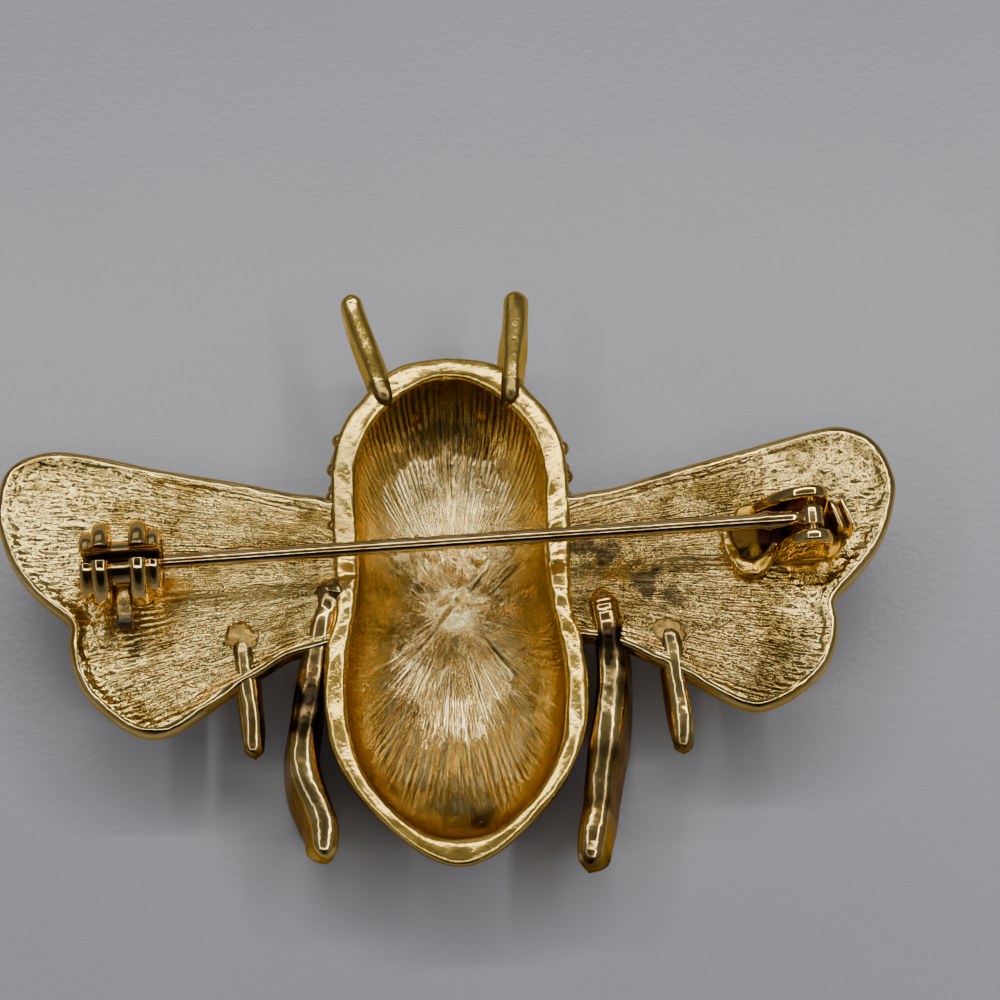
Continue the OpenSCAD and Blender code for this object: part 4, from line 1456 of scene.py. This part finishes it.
SHORT_RIGHT = (
    (1.000, 0.080, 0.975, 0.76, 0.46, 0.50), (1.010, 0.323, 0.97, 0.66, 0.44, 0.52),
    (1.022, 0.537, 0.955, 0.62, 0.44, 0.52), (1.034, 0.740, 0.94, 0.64, 0.44, 0.50),
    (1.040, 0.893, 0.91, 0.70, 0.40, 0.42),
)
ANTENNA_LEFT = (
    (0.691, -0.010, 1.04, 0.78, 0.38, 0.46), (0.762, 0.218, 1.02, 0.74, 0.40, 0.52),
    (0.856, 0.456, 0.99, 0.72, 0.41, 0.53), (0.950, 0.698, 0.96, 0.72, 0.42, 0.50),
    (1.020, 0.925, 0.93, 0.74, 0.43, 0.45),
)
ANTENNA_RIGHT = (
    (0.689, -0.024, 1.04, 0.78, 0.38, 0.48), (0.710, 0.225, 1.02, 0.74, 0.40, 0.56),
    (0.743, 0.458, 0.99, 0.72, 0.42, 0.58), (0.775, 0.688, 0.96, 0.72, 0.45, 0.52),
    (0.797, 0.915, 0.93, 0.74, 0.46, 0.48),
)


@dataclass
class Limbs(Assembly):
    """Antennae, short legs and hind legs, with the solder at the short legs' roots."""

    antenna_base: float = 10.6
    antenna_len: float = 6.6
    antenna_out: float = 5.4
    antenna_w: float = 1.5
    hind_top: float = -1.7
    hind_len: float = 16.3
    hind_out: float = 9.0
    hind_w: float = 2.0
    short_top: float = -4.2
    short_len: float = 7.4
    short_out: float = 12.4
    short_w: float = 1.4
    hind_splay: float = 0.35
    # Share of painted warm reflection on the short legs' lower flanks
    short_flank_reflection: float = 0.75
    blob_mesh: tuple = (40, 24)
    lumps: tuple = (0.20, 0.14)
    # Columns: place out, place up, width, length, height of each blob of solder
    blobs: tuple = ((-12.15, -4.0, 1.0, 0.85, 0.24), (12.45, -4.45, 0.9, 0.8, 0.22))

    def build(self) -> list:
        """Makes all six, and the solder.

        Returns:
            The seven pieces.
        """
        rim, limb = self.finishes.rim, self.finishes.limb
        antenna = (self.antenna_out, self.antenna_base, self.antenna_len, self.antenna_w, rim)
        hind = (self.hind_out, self.hind_top, -self.hind_len, self.hind_w, limb)
        short = (self.short_out, self.short_top, -self.short_len, self.short_w, limb)
        # The tuples after each seed are stretches of painted dark reflection along the limb
        limbs = [
            Limb("antenna_left", ANTENNA_LEFT, -1, *antenna, 155, ((-0.2, 0.12, 0.8),)),
            Limb("antenna_right", ANTENNA_RIGHT, 1, *antenna, 157, ((-0.2, 0.10, 0.8),)),
            Limb("hind_leg_left", HIND_LEFT, -1, *hind, 66,
                 ((-0.1, 0.03, 0.6), (0.19, 0.26, 0.7), (0.30, 0.52, 1.0), (0.66, 0.78, 0.5),
                  (0.95, 1.2, 0.8)), splay=self.hind_splay),
            Limb("hind_leg_right", HIND_RIGHT, 1, *hind, 68,
                 ((0.17, 0.29, 1.0), (0.33, 0.44, 0.7), (0.56, 0.79, 0.7), (0.95, 1.2, 0.9)),
                 ribs=0.07, splay=self.hind_splay),
            Limb("short_leg_left", SHORT_LEFT, -1, *short, 91, ((0.0, 0.14, 0.6), (0.84, 1.2, 0.6)),
                 flank_reflection=self.short_flank_reflection),
            Limb("short_leg_right", SHORT_RIGHT, 1, *short, 93, ((0.05, 0.18, 0.5), (0.86, 1.2, 0.6)),
                 flank_reflection=self.short_flank_reflection),
        ]
        return [limb.build() for limb in limbs] + [self.solder()]

    def solder(self) -> bpy.types.Object:
        """Low domed blobs of solder, half sunk in the wing.

        Returns:
            The piece.
        """
        ball, ball_faces = unit_ball(*self.blob_mesh)
        broad, fine = self.lumps
        parts = []
        for x, y, *size in self.blobs:
            lumps = 1 + broad * value_noise(ball[:, 0] * 1.7 + x, ball[:, 1] * 1.7 + 9, 57)
            lumps = lumps + fine * value_noise(ball[:, 0] * 4.5 + x, ball[:, 1] * 4.5 + 9, 59)
            parts.append((np.array([x, y, FIELD_Z]) + ball * lumps[:, None] * size, ball_faces))
        points, faces = join_parts(parts)
        x, y, z = points.T
        # Darker patches of solder, and painted shade at the foot of each blob where it meets the wing
        dark = 0.25 + 0.45 * ease(patches(x, y, 2.2, 58), -0.5, 0.5)
        paint = {"amber_and_reflection": np.full(len(x), 0.9), "dented": np.ones(len(x)),
                 "tarnish_and_shade": np.maximum(dark, 0.8 * ease(z - FIELD_Z, 0.16, 0.04))}
        materials = [self.finishes.fields[-1], self.finishes.fields[1]]
        picks = np.repeat([0, 1], len(ball_faces))
        return make_piece("leg_solder", to_frame(points), faces, materials, picks, paint)


@dataclass
class StemAssembly(Assembly):
    """Pieces that are set out from a place on the stem's axis."""

    along: float = RIVET_OUT

    def piece(self, name: str, mesh: Mesh, finish: bpy.types.Material,
              paint: dict | None = None) -> bpy.types.Object:
        """Makes a piece from points and faces set out from that place."""
        return make_piece(name, to_stem(mesh[0], self.along), mesh[1], [finish], None, paint)


@dataclass
class PinJoint(StemAssembly):
    """The stem's joint: two arched ears on a base, a stop tab, the rivet, and the lip of solder."""

    ear_gap: float = 1.9
    ear_t: float = 0.75
    ear_d: float = 2.1
    ear_foot: float = 3.3
    short_ear_foot: float = 2.3
    base_t: float = 0.45
    base_rows: int = 24
    base_edge: float = 0.1
    base_middle: tuple = (-1.2, 0.0)
    rivet_d: float = 0.6
    stop_gap: float = 0.2
    stop_w: float = 1.6
    stop_t: float = 1.04
    stop_top: float = -0.35
    stop_out: float = 0.35
    stop_lean: float = 0.22
    sink: float = 0.05
    ear_round: float = 0.26
    stop_round: float = 0.05
    base_ripple: float = 0.05
    lip_ripple: float = 0.09
    lip_flat: float = 0.8
    # Columns: place along the stem (share of the ear's reach), height over the wing (share of the ear's)
    arch: tuple = (
        (-1.0, 0.10), (-0.97, 0.24), (-0.91, 0.40), (-0.80, 0.57), (-0.66, 0.72), (-0.50, 0.85),
        (-0.34, 0.94), (-0.18, 0.99),
    )
    # Corners of the base from the rivet, along the stem and across it, in millimetres
    plate: tuple = (
        (2.1, 1.3), (1.0, 1.9), (-3.4, 1.9), (-4.2, 1.4), (-4.6, 0.3), (-4.5, -1.0), (-3.9, -1.9),
        (-3.2, -2.1), (-2.4, -1.6), (-1.6, -1.75), (1.0, -1.75), (2.0, -0.7),
    )
    # Route of the lip from the rivet: along the stem, across it, height over the wing and radius
    lip_route: tuple = (
        (-4.80, 0.45, 0.20, 0.26), (-4.78, -0.05, 0.32, 0.36), (-4.64, -0.72, 0.34, 0.42),
        (-4.34, -1.42, 0.34, 0.44), (-3.90, -1.92, 0.32, 0.48), (-3.36, -2.12, 0.32, 0.50),
        (-2.85, -1.82, 0.36, 0.44), (-2.40, -1.32, 0.44, 0.38), (-2.05, -0.85, 0.46, 0.30),
    )
    # Columns: place along the stem from the tab's middle, height over its top, on one side of its groove
    stop_groove: tuple = (
        (0.13, -0.75), (0.17, -0.08), (0.26, 0.0), (0.38, 0.0), (0.48, -0.05), (0.50, -0.16),
    )

    def ear(self, reach: float, near: float, far: float) -> Mesh:
        """One ear: an arch that climbs from its foot to a round head about the rivet.

        Args:
            reach: distance of the foot's far end from the rivet.
            near: place of one face across the stem.
            far: place of the other.

        Returns:
            Points and faces.
        """
        radius, foot = self.ear_d / 2, self.sink - STEM_H
        turn = np.radians(np.arange(0, 101, 6))
        head = np.stack([np.cos(turn), np.sin(turn)], 1) * radius
        climb = smooth_path(self.arch, 4)[::-1] * [reach, STEM_H + radius] - [0, STEM_H]
        return prism(np.vstack([head, climb, [[-reach, foot], [radius, foot]]]), near, far, 1)

    def build(self) -> list:
        """Makes the pieces of the joint.

        Returns:
            Ears, base, lip, stop tab and rivet.
        """
        inside, outside = self.ear_gap / 2, self.ear_gap / 2 + self.ear_t
        ears = [self.ear(self.ear_foot, inside, outside), self.ear(self.short_ear_foot, -outside, -inside)]
        ears = self.piece("joint_ears", join_parts(ears), self.finishes.finding)
        add_bevel(ears, self.ear_round, 5)
        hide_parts("joint_plate")
        return [ears, self.base(), self.lip(), self.stop_tab(), self.rivet()]

    def base(self) -> bpy.types.Object:
        """The base plate with its uneven back, painted shade in its pocket and between the ears, and a small
        spot in the pocket left bright as a painted glint.

        Returns:
            The piece.
        """
        plate = even_loop(smooth_path(self.plate, 6, closed=True), 90)
        shares = np.append(np.linspace(0.02, 0.94, self.base_rows), [0.97, 0.99, 1.0])[:, None, None]
        top = self.base_t - STEM_H
        edge, middle = self.base_edge, np.array(self.base_middle)
        brink = [top - 1.3 * edge, top - 2 * edge, edge - STEM_H]
        level = np.append(np.full(self.base_rows, top - edge), brink)
        flat = middle + shares * (plate - middle)[None]
        rings = np.dstack([flat, np.broadcast_to(level[:, None], flat.shape[:2])])
        ripple = self.base_ripple * patches(flat[..., 0], flat[..., 1], 1.9, 73)
        rings[: self.base_rows, :, 2] += ripple[: self.base_rows]
        under = rings[-1:] * [1, 1, 0] + [0, 0, -STEM_H - edge]
        points, faces = closed_skin(np.concatenate([rings, under]))
        x, y = points[:, 0], points[:, 1]
        # Painted shade in the pocket inside the lip, with a small spot left bright as a painted glint;
        # painted shade between the ears
        pocket = ease(np.hypot((x + 3.6) / 1.5, (y + 0.5) / 1.2), 1.9, 0.9)
        pocket = 0.9 * pocket * ease(np.hypot(x + 3.2, y + 0.95), 0.1, 0.45)
        between = 0.85 * ease(np.abs(y), 1.1, 0.7) * ease(x, -3.2, -2.0)
        paint = {"tarnish_and_shade": between + pocket, "amber_and_reflection": np.ones(len(x))}
        return self.piece("joint_base", (points, faces), self.finishes.solder, paint)

    def lip(self) -> bpy.types.Object:
        """The raised lip round the open corner of the base.

        Returns:
            The piece.
        """
        rows = smooth_path(self.lip_route, 8)
        rings = tube(rows[:, :3] - [0, 0, STEM_H], rows[:, 3], 28, self.lip_flat)
        rings[..., 2] += self.lip_ripple * patches(rings[..., 0], rings[..., 1], 2.0, 71)
        points, faces = closed_skin(rings)
        paint = {"amber_and_reflection": ease(patches(points[:, 0], points[:, 1], 1.6, 72), -0.55, 0.45)}
        return self.piece("joint_lip", (points, faces), self.finishes.solder, paint)

    def stop_tab(self) -> bpy.types.Object:
        """The folded tab behind the rivet, with a groove along its top.

        Returns:
            The piece.
        """
        half, low, top, edge = self.stop_w / 2, self.sink - STEM_H, self.stop_top, self.stop_groove[-1][0]
        side = np.array(self.stop_groove)
        groove = np.vstack([side[::-1] * [-1, 1], side]) + [0, top]
        points, faces = prism(np.vstack([groove, [[edge, low], [-edge, low]]]), -half, half, 1)
        lean = -self.stop_lean * (points[:, 1] / half)
        floor = ease(points[:, 2], top - 0.25, top - 0.45)
        points[:, 0] += self.ear_d / 2 + self.stop_gap + self.stop_t / 2 + lean
        points[:, 1] += self.stop_out
        # Painted shade, dark and warm, on the floor of the groove
        paint = {"tarnish_and_shade": 0.8 * floor, "amber_and_reflection": floor}
        piece = self.piece("joint_stop", (points, faces), self.finishes.finding, paint)
        add_bevel(piece, self.stop_round, 2)
        return piece

    def rivet(self) -> bpy.types.Object:
        """The rivet, flush with the ears, with slightly domed ends.

        Returns:
            The piece.
        """
        inside = self.ear_gap / 2
        half = inside + self.ear_t
        end = np.array([(half - 0.08, 1), (half - 0.03, 0.8), (half, 0.3)])
        profile = np.vstack([end[::-1] * [-1, 1], end]) * [1, self.rivet_d / 2]
        points, faces = lathe_x(profile, 32)
        points = points[:, [1, 0, 2]]
        # Painted shade on the rivet's middle, between the ears
        paint = {"tarnish_and_shade": ease(np.abs(points[:, 1]), inside, inside - 0.05)}
        piece = self.piece("joint_rivet_pin", (points, faces), self.finishes.limb, paint)
        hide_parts("joint_rivet")
        return piece


@dataclass
class PinStem(StemAssembly):
    """The round wire stem: its point, its thick butt, and the eye that turns on the rivet."""

    wire_r: float = 0.425
    butt_r: float = 0.55
    butt_len: float = 3.1
    eye_r: float = 0.675
    eye_w: float = 1.12
    eye_power: float = 0.4
    bore_r: float = 0.34
    tip_inset: float = 0.3

    def build(self) -> bpy.types.Object:
        """Makes the wire with its butt, and the eye as a rounded ring about the rivet.

        Returns:
            The piece.
        """
        tip = self.tip_inset - RIVET_OUT - CATCH_OUT - CATCH_LEN / 2
        wire, butt, start = self.wire_r, self.butt_r, -self.butt_len
        # Columns: place along the stem, radius
        rows = np.array([
            (tip, 0.04), (tip + 0.05, 0.10), (tip + 0.6, 0.17), (tip + 2.4, 0.31), (tip + 4.6, wire),
            (start - 9, wire), (start - 0.2, wire), (start - 0.02, wire + 0.01),
            (start + 0.45, butt + 0.02), (start + 0.60, butt + 0.02), (start + 0.85, butt - 0.03),
            (start + 1.6, butt - 0.04), (-0.4, butt - 0.03), (-0.36, 0.45),
        ])
        piece = self.piece("stem_wire", join_parts([lathe_x(rows, 56), self.eye()]), self.finishes.wire)
        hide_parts("pin_stem")
        return piece

    def eye(self) -> Mesh:
        """A ring of squarish section, |cos|^p by |sin|^p with p eye_power, round the rivet's axis.

        Returns:
            Points and faces.
        """
        middle, thick = (self.eye_r + self.bore_r) / 2, (self.eye_r - self.bore_r) / 2
        section = np.linspace(0, TAU, 28, endpoint=False)
        radius = middle + thick * signed_power(np.cos(section), self.eye_power)
        across = self.eye_w / 2 * signed_power(np.sin(section), self.eye_power)
        turn = np.linspace(0, TAU, 64, endpoint=False)[:, None]
        rings = np.stack([radius * np.cos(turn), across + 0 * turn, radius * np.sin(turn)], axis=-1)
        points = rings.reshape(-1, 3)
        return points, (ring_faces(len(turn) + 1, len(section)) % len(points)).tolist()


@dataclass
class SafetyCatch(StemAssembly):
    """The roll-over catch: a ridged barrel on a foot, and the roller with its thumb lever."""

    along: float = -CATCH_OUT
    length: float = CATCH_LEN
    ridge_d: float = 5.0
    outer_ridge_d: float = 4.0
    inner_share: float = 0.58
    ridge_lap: float = 0.08
    ridge_power: float = 0.78
    window_w: float = 1.1
    bore_r: float = 1.4
    roller_r: float = 1.35
    wire_bore: float = 0.625
    half_slot: float = 0.44
    foot_w: float = 3.0
    foot_cut: float = 0.5
    foot_inset: float = 0.3
    foot_round: float = 0.15
    roller_inset: float = 0.05
    # Rounding of the slot's lips and thickness of the wall there, of the barrel and of the roller
    barrel_lip: tuple = (0.07, 0.6)
    roller_lip: tuple = (0.06, 0.7)
    lever_len: float = 3.7
    lever_w: float = 1.1
    lever_t: float = 0.9
    lever_edge: float = 0.12
    lever_turn: float = 106.0
    # Columns: height over the lever's middle (share of half its thickness), inset there (share)
    lever_rows: tuple = (
        (-1.0, 1.0), (-0.96, 0.6), (-0.85, 0.2), (-0.7, 0.0), (0.7, 0.0), (0.85, 0.2), (0.96, 0.6),
        (1.0, 1.0),
    )

    def barrel_profile(self, side: int) -> np.ndarray:
        """Outline of one half of the barrel's wall: two rounded ridges over the bore.

        Each ridge is a full half oval (middle - r cos^k t, radius + r sin^k t) for t from 0 to pi,
        where k is ridge_power.

        Args:
            side: 1 for the half towards the joint, -1 for the other.

        Returns:
            Rows of place along the axis and radius.
        """
        end, near = self.length / 2, self.window_w / 2
        inner_w = self.inner_share * (end - near)
        outer_w = end - near - inner_w + self.ridge_lap
        inner_r, outer_r = (self.ridge_d - inner_w) / 2, (self.outer_ridge_d - outer_w) / 2
        t = np.linspace(0, math.pi, 19)
        across, up = signed_power(np.cos(t), self.ridge_power), signed_power(np.sin(t), self.ridge_power)
        inner = np.stack([near + inner_w / 2 * (1 - across), inner_r + inner_w / 2 * up], 1)
        outer = np.stack([end - outer_w / 2 * (1 + across), outer_r + outer_w / 2 * up], 1)
        outer = outer[outer[:, 0] > near + inner_w]
        bore = [[end, self.bore_r + 0.02], [end - 0.04, self.bore_r], [near + 0.04, self.bore_r],
                [near, self.bore_r + 0.02]]
        return np.vstack([inner, outer, bore]) * [side, 1]

    def build(self) -> tuple[list, list]:
        """Makes the barrel, its foot, and the roller.

        Returns:
            The pieces that stay, and those that turn.
        """
        mesh = join_parts([slotted_ring(self.barrel_profile(side), self.half_slot, 90, *self.barrel_lip)
                           for side in (-1, 1)])
        paint = self.bore_paint(mesh[0], self.bore_r + 0.1)
        barrel = self.piece("catch_barrel", mesh, self.finishes.finding, paint)
        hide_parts("catch_housing")
        return [barrel, self.foot()], [self.roller(), self.lever()]

    def foot(self) -> bpy.types.Object:
        """The foot under the barrel, with cut corners, in the solder's finish.

        Returns:
            The piece.
        """
        x, y, cut = self.length / 2 - self.foot_inset, self.foot_w / 2, self.foot_cut
        half = np.array([(x, cut - y), (x, y - cut), (x - cut, y), (cut - x, y)])
        mesh = prism(np.vstack([half, -half]), -STEM_H, -self.bore_r - 0.3, 2)
        piece = self.piece("catch_foot", mesh, self.finishes.solder)
        add_bevel(piece, self.foot_round, 3)
        return piece

    def roller(self) -> bpy.types.Object:
        """The slotted roller.

        Returns:
            The piece.
        """
        bore, radius, edge = self.wire_bore, self.roller_r, self.roller_inset
        half = self.length / 2 - edge
        along = np.linspace(edge - half, half - edge, 24)
        profile = np.vstack([
            np.stack([along, np.full(24, radius)], 1), [[half, radius - edge], [half, bore + edge]],
            np.stack([along[::-1], np.full(24, bore)], 1), [[-half, bore + edge], [-half, radius - edge]],
        ])
        mesh = slotted_ring(profile, self.half_slot, 72, *self.roller_lip)
        piece = self.piece("roller_tube", mesh, self.finishes.wire, self.bore_paint(mesh[0], radius - 0.15))
        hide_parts("catch_roller")
        return piece

    def bore_paint(self, points: np.ndarray, radius: float) -> dict:
        """Painted shade, dark brown, on what lies deeper than a radius round the axis."""
        deep = ease(np.hypot(points[:, 1], points[:, 2]), radius, radius - 0.12)
        return {"tarnish_and_shade": 0.85 * deep, "amber_and_reflection": 0.5 * deep}

    def lever(self) -> bpy.types.Object:
        """The lever towards the tail: a flat neck that widens into a rolled end, with round edges.

        Returns:
            The piece.
        """
        end_r, neck = self.lever_w / 2, 0.8 * self.lever_w / 2
        middle = self.lever_len - end_r
        turn = np.radians(np.arange(-128, 129, 8))
        tip = np.stack([middle + end_r * np.cos(turn), end_r * np.sin(turn)], 1)
        side = np.array([[1.0, -neck], [middle - 0.75, -neck]])
        outline = np.vstack([side, tip, side[::-1] * [1, -1]])
        inward = np.roll(outline, -1, axis=0) - np.roll(outline, 1, axis=0)
        inward = np.stack([-inward[:, 1], inward[:, 0]], 1)
        inward /= np.linalg.norm(inward, axis=1, keepdims=True)
        level, inset = np.array(self.lever_rows).T * [[self.lever_t / 2], [self.lever_edge]]
        flat = outline[None] + inset[:, None, None] * inward[None]
        turn = math.radians(self.lever_turn)
        along, across = flat[..., 0], flat[..., 1]
        y = -along * math.sin(turn) + across * math.cos(turn)
        z = along * math.cos(turn) + across * math.sin(turn)
        points, faces = closed_skin(np.stack([np.broadcast_to(level[:, None], y.shape), y, z], axis=-1))
        # The lever is painted darker towards its end
        paint = {"tarnish_and_shade": 0.85 * ease(np.hypot(points[:, 1], points[:, 2]), 2.75, 3.0)}
        return self.piece("roller_lever", (points, faces), self.finishes.lever, paint)


# Floor, light and camera


@dataclass
class Studio:
    """Plain floor, a square of light strips overhead, and the photograph's camera."""

    distance: float = 200.0
    elevation: float = 70.0
    azimuth: float = -1.98
    look_at: tuple = (2.903, 3.85, 7.6)
    focal_px: float = 3435.0
    image_px: float = 1000.0
    sensor: float = 36.0
    floor_half: float = 900.0
    lamp_z: float = 300.0
    lamp_half: tuple = (185.0, 145.0)
    strip: float = 17.0
    strip_glow: float = 15.0
    # Shares of the strips' glow at the head, tail, left and right
    strip_shares: tuple = (1.6, 0.62, 0.7, 1.5)
    strip_color: tuple = (1.0, 0.99, 0.97)
    fill_place: tuple = (-80, 420, 230)
    fill_size: tuple = (260, 160)
    fill_glow: float = 0.35
    fill_color: tuple = (0.97, 0.98, 1.0)
    dark_rise: float = 48.0
    # Columns: closeness to the dark way (0 to 1), brightness of the room there
    room: tuple = ((0.0, 0.10), (0.45, 0.17), (0.78, 0.10), (0.90, 0.010), (1.0, 0.007))

    def camera(self) -> None:
        """Sets the camera at the photograph's place."""
        a, e = math.radians(self.azimuth), math.radians(self.elevation)
        back = np.array([math.sin(a) * math.cos(e), -math.cos(a) * math.cos(e), math.sin(e)])
        data = bpy.data.cameras.new("camera")
        data.sensor_width = self.sensor
        data.lens = self.focal_px / self.image_px * self.sensor
        data.clip_start = 0.01
        data.dof.use_dof = False
        camera = bpy.data.objects.new("camera", data)
        camera.location = (to_frame(np.array(self.look_at)) + back * self.distance) * MM
        camera.rotation_euler = (math.radians(90 - self.elevation), 0.0, a)
        bpy.context.scene.collection.objects.link(camera)
        bpy.context.scene.camera = camera

    def lamp(self, name: str, place: tuple, size: tuple, glow: float, color: tuple,
             level: bool = False) -> None:
        """Adds one rectangular lamp that faces the brooch, or straight down.

        Args:
            name: the lamp's name.
            place: its middle, in millimetres.
            size: its width and height, in millimetres.
            glow: its brightness, where white paper in full light is 1.
            color: its colour.
            level: whether it faces straight down.
        """
        data = bpy.data.lights.new(name, "AREA")
        data.shape = "RECTANGLE"
        data.size, data.size_y = size[0] * MM, size[1] * MM
        data.energy = glow * math.pi * data.size * data.size_y
        data.color = color
        lamp = bpy.data.objects.new(name, data)
        lamp.location = np.array(place) * MM
        if not level:
            aim = np.array(place) / np.linalg.norm(place)
            lamp.rotation_euler = (math.acos(aim[2]), 0.0, math.atan2(aim[0], -aim[1]))
        lamp.visible_camera = False
        bpy.context.scene.collection.objects.link(lamp)

    def light(self) -> None:
        """Four strips round a square overhead, and a weak wide lamp beyond the head."""
        x, y = self.lamp_half
        wide, high = (2 * x, self.strip), (self.strip, 2 * y)
        rows = (("strip_head", 0, y, wide), ("strip_tail", 0, -y, wide), ("strip_left", -x, 0, high),
                ("strip_right", x, 0, high))
        for (name, at_x, at_y, size), share in zip(rows, self.strip_shares):
            place = (at_x, at_y, self.lamp_z)
            self.lamp(name, place, size, self.strip_glow * share, self.strip_color, level=True)
        self.lamp("head_fill", self.fill_place, self.fill_size, self.fill_glow, self.fill_color)

    def surroundings(self) -> None:
        """A dim room, darker towards the photographer and lighter overhead."""
        world = bpy.data.worlds.new("surroundings")
        bench = NodeBench(world)
        rise = math.radians(self.dark_rise)
        inputs = {0: bench.place("Generated"), 1: (0.0, -math.cos(rise), math.sin(rise))}
        closeness = bench.add("ShaderNodeVectorMath", inputs, operation="DOT_PRODUCT").outputs["Value"]
        color = bench.ramp(closeness, [(at, (level, level, 1.04 * level)) for at, level in self.room])
        back = bench.add("ShaderNodeBackground", {"Color": color, "Strength": 1.0})
        bench.add("ShaderNodeOutputWorld", {"Surface": back.outputs[0]})
        bpy.context.scene.world = world

    def floor(self) -> None:
        """Lays the pale floor."""
        mesh = bpy.data.meshes.new("floor")
        corners = np.array([(-1, -1, 0), (1, -1, 0), (1, 1, 0), (-1, 1, 0)]) * self.floor_half * MM
        mesh.from_pydata(corners.tolist(), [], [(0, 1, 2, 3)])
        mesh.materials.append(FloorFinish().dress())
        floor = bpy.data.objects.new("floor", mesh)
        bpy.context.scene.collection.objects.link(floor)

    def build(self) -> None:
        """Makes the floor, the lights, the surroundings and the camera."""
        self.floor()
        self.light()
        self.surroundings()
        self.camera()


def ride(pieces: list, body: str) -> None:
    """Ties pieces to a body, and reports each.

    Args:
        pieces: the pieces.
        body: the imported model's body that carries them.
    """
    for piece in pieces:
        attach(piece, body)
        LOG.info("%s: %d faces", piece.name, len(piece.data.polygons))


def main() -> None:
    """Builds the brooch piece by piece and reports each."""
    logging.basicConfig(level=logging.INFO, format="%(message)s")
    finishes = Finishes()
    Studio().build()
    ride(BodyShell(finishes).build(), "root")
    ride([Wing(finishes, side).build() for side in (-1, 1)], "root")
    ride(Limbs(finishes).build(), "root")
    joint = PinJoint(finishes).build()
    ride(joint[:-1], "root")
    ride(joint[-1:], "root")
    barrel, roller = SafetyCatch(finishes).build()
    ride(barrel, "root")
    ride(roller, "roller")
    ride([PinStem(finishes).build()], "stem")


if __name__ == "__main__":
    main()
